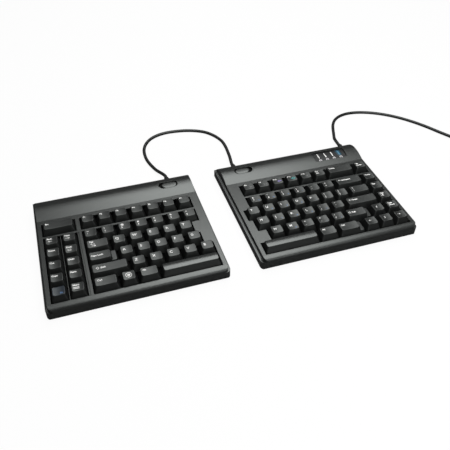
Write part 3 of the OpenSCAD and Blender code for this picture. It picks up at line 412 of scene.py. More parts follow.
def soft_box(size, radius, rows=12, ridges=0):
    """Rounded bar along Y, made of rounded-rectangle rings, with shallow finger ridges if asked."""
    rings = []
    stations = [(0.0, radius * 0.75), (radius * 0.3, radius * 0.25), (radius, 0.0)]
    ends = [(size.y - y, inset) for y, inset in reversed(stations)]
    stations += [(radius + (size.y - 2 * radius) * i / rows, 0.0) for i in range(1, rows)] + ends
    for y, inset in stations:
        groove = RIDGE_DEEP * (0.5 - 0.5 * math.cos(2 * math.pi * ridges * y / size.y)) if ridges else 0
        hx, hz = size.x / 2 - inset - groove, size.z / 2 - inset * 0.8
        rings.append([(x, y, z) for x, z in soft_ring(hx, hz, min(radius, hz * 0.95), 5)])
    return stacked(rings)


def flipped_along_y(part, y):
    """Turns a form that runs along +Y so that it runs from y towards -Y."""
    verts, faces = part
    return [Vector((-v.x, y - v.y, v.z)) for v in verts], faces


grip_y = plug_end.y - PLUG_NECK
neck_profile = [(NECK_R - 0.0001, 0)]
for i in range(NECK_RINGS):
    y, r = PLUG_NECK * i / NECK_RINGS, NECK_R + NECK_FLARE * i / NECK_RINGS
    neck_profile += [(r + out, y + along) for out, along in NECK_RING]
neck_profile.append((NECK_R + NECK_FLARE + 0.0001, PLUG_NECK + NECK_BITE))
verts, faces = joined([flipped_along_y(turned(neck_profile, 24), plug_end.y),
                       flipped_along_y(soft_box(PLUG_GRIP, PLUG_GRIP_R, GRIP_ROWS, GRIP_RIDGES), grip_y)])
plug = piece_from("usb_plug_grip", [v + Vector((plug_end.x, 0, plug_end.z)) for v in verts], faces,
                  [soft_rubber])
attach(plug, "right_half")
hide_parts("usb_plug")

shell_y = grip_y - PLUG_GRIP.y
half = PLUG_SHELL / 2
SHELL_T, HOLE, HOLE_X, HOLE_Y, HOLE_PROUD = 0.0004, 0.0023, 0.003, 0.006, 0.00003


def at_shell(name, boxes, material):
    """A piece of boxes whose corners are given from the middle of the shell's rear end."""
    verts, faces = joined([box_form(low, high) for low, high in boxes])
    shift = Vector((plug_end.x, shell_y, plug_end.z))
    return piece_from(name, [v + shift for v in verts], faces, [material], smooth=False)


shell = at_shell("usb_plug_shell", [
    ((-half.x, -PLUG_SHELL.y, half.z - SHELL_T), (half.x, 0, half.z)),
    ((-half.x, -PLUG_SHELL.y, -half.z), (half.x, 0, -half.z + SHELL_T)),
    ((-half.x, -PLUG_SHELL.y, -half.z), (-half.x + SHELL_T, 0, half.z)),
    ((half.x - SHELL_T, -PLUG_SHELL.y, -half.z), (half.x, 0, half.z))], bright_steel)
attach(shell, "right_half")

# Thin near-black plates standing just proud of the uncut shell paint the shade in its square openings.
hole_shade_plates = [((sx * HOLE_X - HOLE / 2, -HOLE_Y - HOLE, top * half.z - HOLE_PROUD),
          (sx * HOLE_X + HOLE / 2, -HOLE_Y, top * half.z + HOLE_PROUD)) for sx in (-1, 1) for top in (-1, 1)]
TONGUE = ((-0.0054, -0.0166, 0.0004), (0.0054, 0, 0.0018))
tongue = at_shell("usb_plug_tongue_and_hole_shade", hole_shade_plates + [TONGUE], black_plastic_and_painted_shade)
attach(tongue, "right_half")
print("plug from y", round(plug_end.y, 4), "to", round(shell_y - PLUG_SHELL.y, 4))

# %% Tie round the coil
TIE_W, TIE_T, TIE_ROOM = 0.008, 0.0006, 0.0003
coil_in_r = COIL_OUT_R - COIL_PITCH * COIL_TURNS
tie_low = Vector((coil_centre.x - COIL_OUT_R - CORD_D / 2 - TIE_ROOM, COIL_LOW_Z - CORD_D / 2 - TIE_ROOM))
tie_high = Vector((coil_centre.x - coil_in_r + CORD_D / 2 + TIE_ROOM, COIL_TOP_Z + CORD_D / 2 + TIE_ROOM))
TIE_R, TIE_STEPS = 0.0022, 6
middle, half = (tie_low + tie_high) / 2, (tie_high - tie_low) / 2
inner_ring, outer_ring = (
    [middle + Vector(p) for p in soft_ring(half.x + grow, half.y + grow, TIE_R + grow, TIE_STEPS)]
    for grow in (0, TIE_T))
verts, faces, n = [], [], len(inner_ring)
for y in (coil_centre.y - TIE_W / 2, coil_centre.y + TIE_W / 2):
    verts += [(x, y, z) for x, z in outer_ring] + [(x, y, z) for x, z in inner_ring]
for k in range(n):
    j = (k + 1) % n
    faces += [(k, j, 2 * n + j, 2 * n + k), (n + j, n + k, 3 * n + k, 3 * n + j),
              (j, k, n + k, n + j), (2 * n + k, 2 * n + j, 3 * n + j, 3 * n + k)]
tie = piece_from("coil_strap", verts, faces, [soft_rubber])
tie.data.set_sharp_from_angle(angle=math.radians(50))
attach(tie, "right_half")
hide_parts("cord_tie")

# %% [markdown]
# ## The case
# The covers, trays and inner pieces keep their solid shapes, so they only get finishes.
# Faces that meet at a small angle are shaded smoothly, so that the hump and the rounded front edge
# show no facets while the crisp creases stay.

# %% Finishes on the solid pieces
def dress(node, material, smooth_below=30):
    obj = nodes[node]
    obj.data.materials.clear()
    obj.data.materials.append(material)
    obj.data.polygons.foreach_set("use_smooth", [True] * len(obj.data.polygons))
    obj.data.set_sharp_from_angle(angle=math.radians(smooth_below))


finish_of = {"top_cover": cover_grey, "bottom_tray": tray_black, "feet": soft_rubber, "screws": bright_steel,
             "guide_frame": black_plastic_and_painted_shade, "backing_plate": bright_steel, "membrane": film_grey,
             "dome_sheet": dome_rubber}
for side in ("left", "right"):
    for piece, material in finish_of.items():
        dress(side + "_" + piece, material)
dress("left_link_board", board_green)
dress("controller_board", board_green)
print("dressed solids:", sum(1 for o in nodes.values() if not o.hide_render))

# %% [markdown]
# ## Sloped rims on the ledges
# At both sides the tray stands out as a narrow ledge. Its top is moulded with a slight slope to the
# outside, so that along the right half it catches the lamp as one thin bright line. Each rim is a long
# wedge that runs out flat at both ends.

# %% Rims
RIM_SLOPE, RIM_RUN_OUT, RIM_FRONT, RIM_REAR = math.tan(math.radians(8)), 4.0, 6.0, 8.0
RIM_BITE, RIM_CLEAR, RIM_END = 0.05, 0.02, 0.05
for side in ("left", "right"):
    tray_low, tray_high = (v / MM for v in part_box(side + "_bottom_tray"))
    cover_low, cover_high = (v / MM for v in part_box(side + "_top_cover"))
    front, rear = tray_low.y + RIM_FRONT, tray_high.y - RIM_REAR
    rims = []
    for outer, inner in ((tray_low.x, cover_low.x), (tray_high.x, cover_high.x)):
        rise = abs(inner - outer) * RIM_SLOPE
        out = math.copysign(1, outer - inner)
        edge, foot, base = outer - RIM_BITE * out, inner + RIM_CLEAR * out, tray_high.z - RIM_BITE
        stations = []
        for y, part in ((front, RIM_END), (front + RIM_RUN_OUT, 1), (rear - RIM_RUN_OUT, 1), (rear, RIM_END)):
            ring = [(edge, y, tray_high.z), (foot, y, tray_high.z + rise * part),
                    (foot, y, base), (edge, y, base)]
            stations.append(ring if out < 0 else ring[::-1])
        rims.append(stacked(stations))
    verts, faces = joined(rims)
    rim = piece_from(side + "_ledge_rims", [v * MM for v in verts], faces, [tray_black], smooth=False)
    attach(rim, side + "_half")
print("rims with", len(faces), "faces a half")

# %% [markdown]
# ## Sliders in the humps
# Near the inner edge of each hump sits an oval slider. It is a pillow with a rounded rim. The outer band of
# the rim, the pillow's wall and underside and the flange under the window are coloured near black as painted
# shade, so a near-black line runs round the pillow and the open outer end of the window shows black. The
# pillow is made of oval rings that shrink towards the middle and follow the curve of the hump; the flange is
# a curved plate of the same make.

# %% Height of the hump
LATCH_SETBACK, LATCH_FLANGE = 1.5, 2.0
HUMP_R, REAR_R = 57.2, 28.0
latch_low, latch_high = (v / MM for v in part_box("left_release_latch"))
CREST_Y = (latch_low.y + latch_high.y) / 2 + LATCH_SETBACK
CREST_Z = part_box("left_top_cover")[1].z / MM


def hump_height(y, depth):
    """Height of the hump at y, so far under its surface, in mm."""
    r = HUMP_R if y < CREST_Y else REAR_R
    return CREST_Z - r + math.sqrt((r - depth) ** 2 - (y - CREST_Y) ** 2)


def oval(length, width, steps=14):
    """Points round a slot with half-round ends."""
    r = width / 2
    reach = length / 2 - r
    ring = []
    for end, start in ((1, -90), (-1, 90)):
        for k in range(steps + 1):
            angle = math.radians(start + 180 * k / steps)
            ring.append((end * reach + r * math.cos(angle), r * math.sin(angle)))
    return ring


def on_hump(ring, x, y, depth):
    return [(x + px, y + py, hump_height(y + py, depth)) for px, py in ring]


print("hump crest at y", round(CREST_Y, 1), "and z", round(CREST_Z, 1), "mm")

# %% Oval sliders
SLIDER_RIM, SLIDER_SINK, SLIDER_GAP, SLIDER_WALL, FLANGE_T = 1.9, 0.25, 0.45, 2.4, 1.2
RIM_STEPS = 6
for side in ("left", "right"):
    low, high = (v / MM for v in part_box(side + "_release_latch"))
    x, y = (low.x + high.x) / 2, (low.y + high.y) / 2
    length, width = (d - 2 * LATCH_FLANGE - SLIDER_GAP for d in (high.x - low.x, high.y - low.y))
    rings = [on_hump(oval(length - width * part, width * (1 - part)), x, y, SLIDER_SINK)
             for part in (0.95, 0.7)]
    for i in range(RIM_STEPS + 1):
        angle = math.radians(90 * i / RIM_STEPS)
        inset = SLIDER_RIM * (1 - math.sin(angle))
        rings.append(on_hump(oval(length - 2 * inset, width - 2 * inset), x, y,
                             SLIDER_SINK + SLIDER_RIM * (1 - math.cos(angle))))
    rings.append(on_hump(oval(length, width), x, y, SLIDER_WALL))
    pillow = stacked(rings)
    flange = [on_hump(oval(length + 2 * LATCH_FLANGE, width + 2 * LATCH_FLANGE), x, y, depth)
              for depth in (SLIDER_WALL, SLIDER_WALL + FLANGE_T)]
    verts, faces = joined([pillow, stacked(flange)])
    slider = piece_from(side + "_slider", [v * MM for v in verts], faces, [cover_grey, black_plastic_and_painted_shade])
    ring_faces = len(oval(1, 1)) * (RIM_STEPS + 1)
    # The steepest rim band, the wall, the underside and the flange take the near-black finish: painted shade
    # round the slider.
    dark = [1 if i >= ring_faces and i != len(pillow[1]) - 2 else 0 for i in range(len(faces))]
    slider.data.polygons.foreach_set("material_index", dark)
    slider.data.set_sharp_from_angle(angle=math.radians(60))
    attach(slider, side + "_latch")
    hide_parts(side + "_release_latch")
print("sliders:", len(faces), "faces each")

# %% [markdown]
# ## Key caps
# A cap is a tapered box with rounded corners and a shallow finger dish; space bars are crowned
# instead. The front face leans back further than the other sides. Each cap is built from one grid:
# the grid covers the top, its border runs down through a small fillet to the skirt, and the skirt
# turns in to a hollow with a stem. Squeezing the grid's corner squares into quarter circles rounds
# the corners without breaking the neat quads.

# %% Sizes of the caps, in millimetres, and the field they stand on
PITCH, CAP_GAP, CAP_H, CAP_TAPER = 19.05, 1.4, 9.5, 4.9
DISH, DISH_RIM, CROWN, STEP_DROP, STEP_W = 0.5, 0.4, 1.4, 4.5, 4.8
STEP_BLOCK_W = 12.0
SKIRT_Z, STEM_Z, STEM_R, ROOF_Z, CAP_WALL, ROOF_T = 14.0, 9.5, 3.0, 6.9, 1.2, 1.5
FILLET, FILLET_TURN, TOP_CORNER, SKIRT_CORNER, INNER_CORNER = 0.55, 75, 1.9, 1.1, 0.66
ROW_TILT = (0, 0, 1, 2, 0, 0)
FUNCTION_ROW_GAP = 5.72
ROW_FRONT = [row * PITCH for row in range(5)] + [5 * PITCH + FUNCTION_ROW_GAP]
FIELD_LEFT = {"left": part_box("hot_keys")[0].x / MM - CAP_GAP / 2,
              "right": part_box("right_space_bar")[0].x / MM - CAP_GAP / 2}
FIELD_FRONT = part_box("left_space_bar")[0].y / MM - CAP_GAP / 2
DISHED, CROWNED, STEPPED = range(3)
LEAN = CAP_TAPER / 2 / CAP_H
CAP_FRONT, BAR_FRONT = 3.7, 4.6
FRONT_LEAN = {DISHED: CAP_FRONT / CAP_H, CROWNED: BAR_FRONT / CAP_H, STEPPED: CAP_FRONT / CAP_H}
CROWN_HALF = (PITCH - CAP_GAP - CAP_TAPER) / 2


def zones(half, corner, middle_steps, corner_steps=4):
    """Positions along one axis: a corner stretch, the middle and the other corner stretch."""
    low = [-half + corner * i / corner_steps for i in range(corner_steps)]
    mid = [-(half - corner) + 2 * (half - corner) * i / middle_steps for i in range(middle_steps)]
    high = [half - corner + corner * i / corner_steps for i in range(corner_steps + 1)]
    return low + mid + high


def rounded(x, y, hx, hy, r):
    """Moves a point of a corner square into the quarter circle that rounds the corner."""
    qx, qy = abs(x) - (hx - r), abs(y) - (hy - r)
    if qx <= 0 or qy <= 0:
        return x, y
    squeeze = max(qx, qy) / math.hypot(qx, qy)
    return (math.copysign(hx - r + qx * squeeze, x), math.copysign(hy - r + qy * squeeze, y))


def top_height(kind, hx, tilt, x, y):
    """Height of a cap's top above its skirt, hx being half the width of the top."""
    if kind == CROWNED:
        return CAP_H - CROWN * (y / CROWN_HALF) ** 2
    dish_half = hx - DISH_RIM
    dip = DISH * max(0.0, 1 - (x / dish_half) ** 2)
    return CAP_H + math.tan(math.radians(tilt)) * y - dip


def cap_shell(width, depth, kind, tilt, height=None):
    """Closed shell of one cap round its own middle, in mm, with its skirt at z = 0.
    Returns the points, the faces and how many of the faces belong to the top and its fillet."""
    sx, sy = (width - CAP_GAP) / 2, (depth - CAP_GAP) / 2
    top_z = height or CAP_H
    mean_lean = (LEAN + FRONT_LEAN[kind]) / 2
    tx, ty = sx - LEAN * top_z, sy - mean_lean * top_z
    x_steps = max(6, round(6 * width / PITCH))
    y_steps = 8 if kind == CROWNED else 5

    def border(nx, ny):
        return ([(i, 0) for i in range(nx)] + [(nx, j) for j in range(ny)]
                + [(i, ny) for i in range(nx, 0, -1)] + [(0, j) for j in range(ny, 0, -1)])

    def surface(x, y):
        return height or top_height(kind, tx, tilt, x, y)

    def back_at(z):
        """How far back the middle of the cap lies at a height."""
        return (FRONT_LEAN[kind] - LEAN) / 2 * z

    inner_x, inner_y, inner_r = tx - FILLET, ty - FILLET, TOP_CORNER - FILLET
    xs, ys = zones(inner_x, inner_r, x_steps), zones(inner_y, inner_r, y_steps)
    nx, ny = len(xs) - 1, len(ys) - 1
    verts = []
    for y in ys:
        for x in xs:
            px, py = rounded(x, y, inner_x, inner_y, inner_r)
            py += back_at(top_z)
            verts.append(Vector((px, py, surface(px, py))))
    corners = [j * (nx + 1) + i for j in range(ny) for i in range(nx)]
    faces = [(a, a + 1, a + nx + 2, a + nx + 1) for a in corners]
    loop = border(nx, ny)
    ring = [j * (nx + 1) + i for i, j in loop]

    def add_ring(hx, hy, r, back, height_of):
        rx, ry = zones(hx, r, x_steps), zones(hy, r, y_steps)
        start = len(verts)
        for k, (i, j) in enumerate(loop):
            px, py = rounded(rx[i], ry[j], hx, hy, r)
            verts.append(Vector((px, py + back, height_of(k))))
        return list(range(start, start + len(loop)))

    def bridge(above, below):
        count = len(loop)
        return [(above[k], below[k], below[(k + 1) % count], above[(k + 1) % count]) for k in range(count)]

    crest = [verts[i].z for i in ring]
    for step in (1, 2, 3):
        angle = math.radians(FILLET_TURN * step / 3)
        out, down = FILLET * math.sin(angle), FILLET * (1 - math.cos(angle))
        below = add_ring(inner_x + out, inner_y + out, inner_r + out, back_at(top_z),
                         lambda k, d=down: crest[k] - d)
        faces += bridge(ring, below)
        ring = below
    top_faces = len(faces)
    skirt = add_ring(sx, sy, SKIRT_CORNER, 0.0, lambda k: 0.0)
    faces += bridge(ring, skirt)
    lip = add_ring(sx - CAP_WALL, sy - CAP_WALL, INNER_CORNER, 0.0, lambda k: 0.0)
    faces += bridge(skirt, lip)
    roof_z = min(ROOF_Z, top_z - ROOF_T)
    roof = add_ring(sx - CAP_WALL - LEAN * roof_z, sy - CAP_WALL - mean_lean * roof_z, INNER_CORNER,
                    back_at(roof_z), lambda k: roof_z)
    faces += bridge(lip, roof)
    faces.append(tuple(roof))
    return verts, faces, top_faces


print("one cap has", len(cap_shell(PITCH, PITCH, DISHED, 0)[1]), "faces")

# %% [markdown]
# ## What is printed on the caps
# The printing is plain: letters, digits, signs and common words, white on grey, with small blue
# numbers for the second layer on the right. Each mark is written as text or as a pen line in
# millimetres from the cap's middle. The key for the operating system gets a plain ring and dot, and
# F and J get the small ridge that fingers look for.

# %% Marks in millimetres from the middle of a cap top
WHITE, BLUE, TEAL, VIOLET, DIM, PALE, DARK, RIDGE = range(8)
HEAD_BACK, HEAD_OUT, ARROW_PEN = 0.8, 0.6, 0.4


def text(words, size, x, y, ink=WHITE):
    return ("text", words, size, x, y, ink)


def line(points, width=0.32, ink=WHITE):
    return ("line", points, width, 0, 0, ink)


def with_number(marks, number):
    """Adds the small blue sign of the second layer, if there is one."""
    return marks + ([text(number, 2.6, 2.4, -4.2, BLUE)] if number else [])


def letter(char, number=None):
    ridge = [line([(-1.7, -4.0), (1.7, -4.0)], 0.6, RIDGE)] if char in "FJ" else []
    return with_number([text(char, 4.6, -3.9, -0.9)] + ridge, number)


def pair(upper, lower, number=None):
    return with_number([text(upper, 3.3, -3.9, 1.1), text(lower, 3.3, -3.9, -3.3)], number)


def word(words, x=-4.8, y=1.4, size=2.9):
    return [text(words, size, x, y)]


def two_lines(first, second, x=-4.6):
    return [text(first, 2.9, x, 1.5), text(second, 2.9, x, -1.9)]


def arrow(dx, dy, x=0.0, y=0.0, size=1.5, ink=WHITE):
    """Pen strokes of an arrow that points along (dx, dy)."""
    tip, tail = (x + dx * size, y + dy * size), (x - dx * size, y - dy * size)
    back, out = HEAD_BACK * size, HEAD_OUT * size
    left = (tip[0] - dx * back - dy * out, tip[1] - dy * back + dx * out)
    right = (tip[0] - dx * back + dy * out, tip[1] - dy * back - dx * out)
    return [line([tail, tip], ARROW_PEN, ink), line([left, tip, right], ARROW_PEN, ink)]


def framed(points, x=0.0, y=0.0, ink=WHITE, width=0.35):
    """A pen line given round its own middle and moved to (x, y)."""
    return line([(x + a, y + b) for a, b in points], width, ink)


def circle(radius, x=0.0, y=0.0, width=0.3, ink=WHITE):
    ring = [(radius * math.cos(a), radius * math.sin(a)) for a in angles_round(24)]
    return framed(ring + ring[:1], x, y, ink, width)


ARROW_UP = [(0, 1.7), (1.7, 0), (0.8, 0), (0.8, -1.4), (-0.8, -1.4), (-0.8, 0), (-1.7, 0), (0, 1.7)]
SCREEN = [(-1.6, -1), (1.6, -1), (1.6, 1.1), (-1.6, 1.1), (-1.6, -1)]
BACK = [text("Back", 2.7, -4.6, 1.5), *arrow(-1, 0, -1.6, -1.6, 2.0)]
NEXT = [text("Next", 2.7, -4.6, 1.5), *arrow(1, 0, -1.6, -1.6, 2.0)]
DESK = [text("Desk", 2.7, -4.6, 1.5), framed(SCREEN, -1.8, -1.9)]
MENU = [text("Menu", 2.9, -4.6, 1.6)] + [line([(-4.2, y), (1.2, y)], 0.8) for y in (-0.6, -2.2)]
FN = [text("Fn", 3.0, 1.2, -4.2, BLUE)]
RING = [circle(3.1, 0, 0.2, 0.55), circle(1.0, 0, 0.2, 1.1)]
TAB = [text("Tab", 2.9, -8.6, 1.7), *arrow(-1, 0, -5.4, -0.6, 2.2), *arrow(1, 0, -4.4, -3.2, 2.2)]


def function_key(number, icon=None):
    return [text(f"F{number}", 3.1, -4.9, 1.5)] + (icon or [])


SPEAKER = [(-1.4, -0.5), (-0.6, -0.5), (0.5, -1.4), (0.5, 1.4), (-0.6, 0.5), (-1.4, 0.5), (-1.4, -0.5)]
print("marks on a letter cap:", len(letter("F")), "and on Tab:", len(TAB))

# %% [markdown]
# ## Banks of keys
# Keys of one size in one row go down together in the model, so each bank is one piece that rides on
# its own body. A bank is written as its half, its row, the place of its left end in key widths, and
# for each key its width, its kind of top and its marks.

# %% The banks
def ones(marks_of_keys, kind=DISHED):
    return [(1, kind, marks) for marks in marks_of_keys]


banks = {
    "esc_key": ("left", 5, 0, [(2, DISHED, word("Esc", -14.0, 1.6))]),
    "left_function_keys": ("left", 5, 2.25, ones([function_key(n) for n in range(1, 8)])),
    "left_number_keys": ("left", 4, 2.25, ones([pair(a, b) for a, b in zip("~!@#$%^", "`123456")])),
    "tab_key": ("left", 3, 2.25, [(1.5, DISHED, TAB)]),
    "left_upper_letter_keys": ("left", 3, 3.75, ones([letter(c) for c in "QWERT"])),
    "caps_lock_key": ("left", 2, 2.25, [(1.75, STEPPED, word("Caps Lock", -9.6, -0.8, 3.0))]),
    "left_home_letter_keys": ("left", 2, 4.0, ones([letter(c) for c in "ASDFG"])),
    "left_shift_key": ("left", 1, 2.25, [(2.25, DISHED,
        [framed(ARROW_UP, -12.6, 0, WHITE, 0.38)] + word("Shift", -9.6, -1.0, 3.1))]),
    "left_lower_letter_keys": ("left", 1, 4.5, ones([letter(c) for c in "ZXCVB"])),
    "left_control_key": ("left", 0, 2.25, [(1.5, DISHED, word("Ctrl", -8.6, 0.6, 3.1))]),
    "system_key": ("left", 0, 3.75, [(1, DISHED, RING)]),
    "left_alt_key": ("left", 0, 4.75, [(1.25, DISHED, word("Alt", -6.6, 1.2, 3.0))]),
    "left_space_bar": ("left", 0, 6.0, [(3.5, CROWNED, [])]),
    "right_function_keys": ("right", 5, 0.5, ones([
        function_key(8, [circle(1.0, 2.2, -1.8, 0.35, DIM)]),
        function_key(9, [framed(SCREEN, 2.2, -1.8, DIM)]),
        function_key(10, [framed(SPEAKER, 1.6, -1.4, VIOLET), *arrow(1, 0, 3.6, -1.4, 1.0, VIOLET)]),
        function_key(11, [framed(SPEAKER, 0.6, -1.2, TEAL), circle(1.5, 2.6, -1.2, 0.5, TEAL)]),
        function_key(12, [framed(SPEAKER, 1.6, -1.6, DIM)]),
        two_lines("Prt", "Scr")])),
    "delete_key": ("right", 5, 6.5, [(2, DISHED, word("Delete", -14.0, 1.6))]),
    "right_number_keys": ("right", 4, 0.5, ones([
        pair("&", "7", "7"), pair("*", "8", "8"), pair("(", "9", "9"), pair(")", "0", "*"),
        pair("_", "-"), pair("+", "=")])),
    "backspace_key": ("right", 4, 6.5, [(2, DISHED,
        arrow(-1, 0, -11.6, 1.5, 1.8) + word("Backspace", -9.2, 0.6, 2.9))]),
    "right_upper_letter_keys": ("right", 3, 0, ones([
        letter("Y"), letter("U", "4"), letter("I", "5"), letter("O", "6"), letter("P", "-"),
        pair("{", "["), pair("}", "]")])),
    "backslash_key": ("right", 3, 7.0, [(1.5, DISHED,
        [text("|", 3.2, -8.4, 1.3), text("\\", 3.2, -8.6, -3.2)])]),
    "right_home_letter_keys": ("right", 2, 0.25, ones([
        letter("H"), letter("J", "1"), letter("K", "2"), letter("L", "3"),
        pair(":", ";", "+"), pair("\"", "'")])),
    "enter_key": ("right", 2, 6.25, [(2.25, DISHED,
        arrow(-1, 0, -13.8, 1.4, 2.0) + word("Enter", -11.2, 0.5, 3.0))]),
    "right_lower_letter_keys": ("right", 1, 0.75, ones([
        letter("N"), letter("M", "0"), pair("<", ","), pair(">", ".", "."), pair("?", "/", "/")])),
    "right_shift_key": ("right", 1, 5.75, [(1.75, STEPPED,
        [framed(ARROW_UP, -8.2, 0.4, WHITE, 0.38)] + word("Shift", -5.8, -0.6, 3.0))]),
    "right_space_bar": ("right", 0, 0, [(3.5, CROWNED, [])]),
    "right_alt_key": ("right", 0, 3.5, [(1.25, DISHED, word("Alt", -6.6, 1.2, 3.0))]),
    "right_control_key": ("right", 0, 4.75, [(1.75, STEPPED, word("Ctrl", -9.4, 1.2, 3.0))]),
}
ARROWS = ((8, 1, (0, 1)), (7, 0, (-1, 0)), (8, 0, (0, -1)), (9, 0, (1, 0)))
NAVIGATION = (two_lines("Page", "Down"), two_lines("Page", "Up"), word("End"), word("Home"),
              two_lines("Ins", "Pause"))
HOT = ((FN, MENU), (word("Copy"), word("Paste")), (word("Cut"), word("Undo")),
       (word("Delete", -4.9, 1.4, 2.6), DESK), (BACK, NEXT))

key_list = {}
for bank, (side, row, start, keys) in banks.items():
    x, key_list[bank] = start, []
    for width, kind, marks in keys:
        key_list[bank].append((side, x + width / 2, row, width, kind, marks))
        x += width
key_list["arrow_keys"] = [("right", x, row, 1, DISHED, arrow(*way, -1.4, 0.4, 1.4)) for x, row, way in ARROWS]
key_list["navigation_keys"] = [("right", 9, row, 1, DISHED, marks) for row, marks in enumerate(NAVIGATION, 1)]
key_list["hot_keys"] = [("left", column + 0.5, row, 1, DISHED, HOT[row][column])
                        for row in range(5) for column in range(2)]
print("banks:", len(key_list), "keys:", sum(len(k) for k in key_list.values()))

# %% Ink for the printing
def ink(name, colour, rough=0.55):
    """Pad-printed ink with a little unevenness in its colour."""
    return moulded(name, colour, rough, grain_mm=0.5, bump=0.05, spread=0.06)


inks = [ink("ink_white", (0.82, 0.82, 0.8)), ink("ink_blue", (0.07, 0.14, 0.28)),
        ink("ink_teal", (0.05, 0.42, 0.42)), ink("ink_violet", (0.28, 0.22, 0.6)),
        ink("ink_dim", (0.2, 0.2, 0.2)), ink("ink_pale", (0.42, 0.41, 0.42)),
        ink("ink_dark", (0.06, 0.06, 0.065)), cap_top]
INK_T, RIDGE_T, STEM_BITE = 0.03, 0.35, 0.2
BOLD_MOST, BOLD_PART = 0.12, 0.045


def pen_line(points, width):
    """Thin flat bars, one along each stretch of a pen line, as (points, faces) with z = 0."""
    verts, faces = [], []
    for (x0, y0), (x1, y1) in zip(points, points[1:]):
        ahead = Vector((x1 - x0, y1 - y0))
        if ahead.length < 1e-6:
            continue
        ahead = ahead.normalized() * width / 2
        side = Vector((-ahead.y, ahead.x))
        a, b = Vector((x0, y0)) - ahead, Vector((x1, y1)) + ahead
        base = len(verts)
        verts += [a - side, b - side, b + side, a + side]
        faces.append(tuple(range(base, base + 4)))
    return [Vector((v.x, v.y, 0)) for v in verts], faces


def written(words, size):
    """Outline text turned into flat faces, as (points, faces) from its lower left corner."""
    curve = bpy.data.curves.new("writing", "FONT")
    curve.body = words
    curve.size = size
    curve.resolution_u = 3
    curve.offset = min(BOLD_MOST, BOLD_PART * size)
    holder = bpy.data.objects.new("writing", curve)
    bpy.context.scene.collection.objects.link(holder)
    bpy.context.view_layer.update()
    mesh = bpy.data.meshes.new_from_object(holder.evaluated_get(bpy.context.evaluated_depsgraph_get()))
    verts = [v.co.copy() for v in mesh.vertices]
    faces = [tuple(p.vertices) for p in mesh.polygons]
    bpy.data.objects.remove(holder)
    bpy.data.curves.remove(curve)
    bpy.data.meshes.remove(mesh)
    return verts, faces


written_before = {}


def mark_faces(mark):
    kind, what, size, x, y, colour = mark
    if kind == "line":
        verts, faces = pen_line(what, size)
    else:
        if (what, size) not in written_before:
            written_before[(what, size)] = written(what, size)
        verts, faces = written_before[(what, size)]
        verts = [v + Vector((x, y, 0)) for v in verts]
    return verts, faces, colour


print("inks:", len(inks))

# %% Build every bank of caps with its printing
def thicken(verts, faces, lift, rise=INK_T):
    """Raises flat faces to thin closed plates that follow a height function."""
    count = len(verts)
    upper = [Vector((v.x, v.y, lift(v.x, v.y) + rise)) for v in verts]
    lower = [Vector((v.x, v.y, lift(v.x, v.y) - INK_T)) for v in verts]
    out = [tuple(f) for f in faces] + [tuple(count + i for i in reversed(f)) for f in faces]
    edges = {edge: True for f in faces for edge in zip(f, f[1:] + f[:1])}
    out += [(a, count + a, count + b, b) for a, b in edges if (b, a) not in edges]
    return upper + lower, out


def stem(z_top):
    """Round stem from the cap's roof down to the dome, as (points, faces)."""
    return stacked([[(STEM_R * math.cos(a), STEM_R * math.sin(a), z) for a in angles_round(20)]
                    for z in (z_top, STEM_Z - SKIRT_Z)])


def gathered(parts):
    """Points in metres, faces and slots of parts, each (points in mm, faces, slot of each face, place)."""
    verts, faces = joined([([(v + place) * MM for v in part_verts], part_faces)
                           for part_verts, part_faces, slots, place in parts])
    return verts, faces, [slot for part in parts for slot in part[2]]


def build_bank(bank, keys):
    parts, prints = [], []
    for side, cells_x, row, cells, kind, marks in keys:
        middle_y = FIELD_FRONT + ROW_FRONT[row] + PITCH / 2
        place = Vector((FIELD_LEFT[side] + cells_x * PITCH, middle_y, SKIRT_Z))
        width = cells * PITCH
        tall = width - STEP_W if kind == STEPPED else width
        top_place = place + Vector(((tall - width) / 2, 0, 0))
        verts, faces, tops = cap_shell(tall, PITCH, kind, ROW_TILT[row])
        top_slot = 3 if kind == CROWNED else 2 if marks is FN else 0
        # Faces below the top's fillet go to slot 1, the darker copy of the plastic that paints shade on the
        # cap sides.
        parts.append((verts, faces, [top_slot] * tops + [1] * (len(faces) - tops), top_place))
        if kind == STEPPED:
            verts, faces, tops = cap_shell(STEP_BLOCK_W, PITCH, DISHED, 0, CAP_H - STEP_DROP)
            parts.append((verts, faces, [0] * tops + [1] * (len(faces) - tops),
                          place + Vector(((width - STEP_BLOCK_W) / 2, 0, 0))))
        verts, faces = stem(ROOF_Z + STEM_BITE)
        parts.append((verts, faces, [1] * len(faces), place))
        hx = (tall - CAP_GAP) / 2 - LEAN * CAP_H
        mark_back = (FRONT_LEAN[kind] - LEAN) / 2 * CAP_H
        for mark in marks:
            flat, flat_faces, colour = mark_faces(mark)
            verts, faces = thicken(
                flat, flat_faces, lambda x, y: top_height(kind, hx, ROW_TILT[row], x, y + mark_back),
                RIDGE_T if colour == RIDGE else INK_T)
            prints.append((verts, faces, [colour] * len(faces), top_place + Vector((0, mark_back, 0))))
    verts, faces, slots = gathered(parts)
    caps = piece_from("caps_" + bank, verts, faces, [cap_top, cap_side_painted_shade, fn_blue, bar_top])
    caps.data.polygons.foreach_set("material_index", slots)
    caps.data.set_sharp_from_angle(angle=math.radians(50))
    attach(caps, bank + "_body")
    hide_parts(bank)
    if prints:
        print_verts, print_faces, slots = gathered(prints)
        printing = piece_from("printing_" + bank, print_verts, print_faces, inks, smooth=False)
        printing.data.polygons.foreach_set("material_index", slots)
        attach(printing, bank + "_body")
    return len(faces)


print("faces on caps:", sum(build_bank(bank, keys) for bank, keys in key_list.items()))

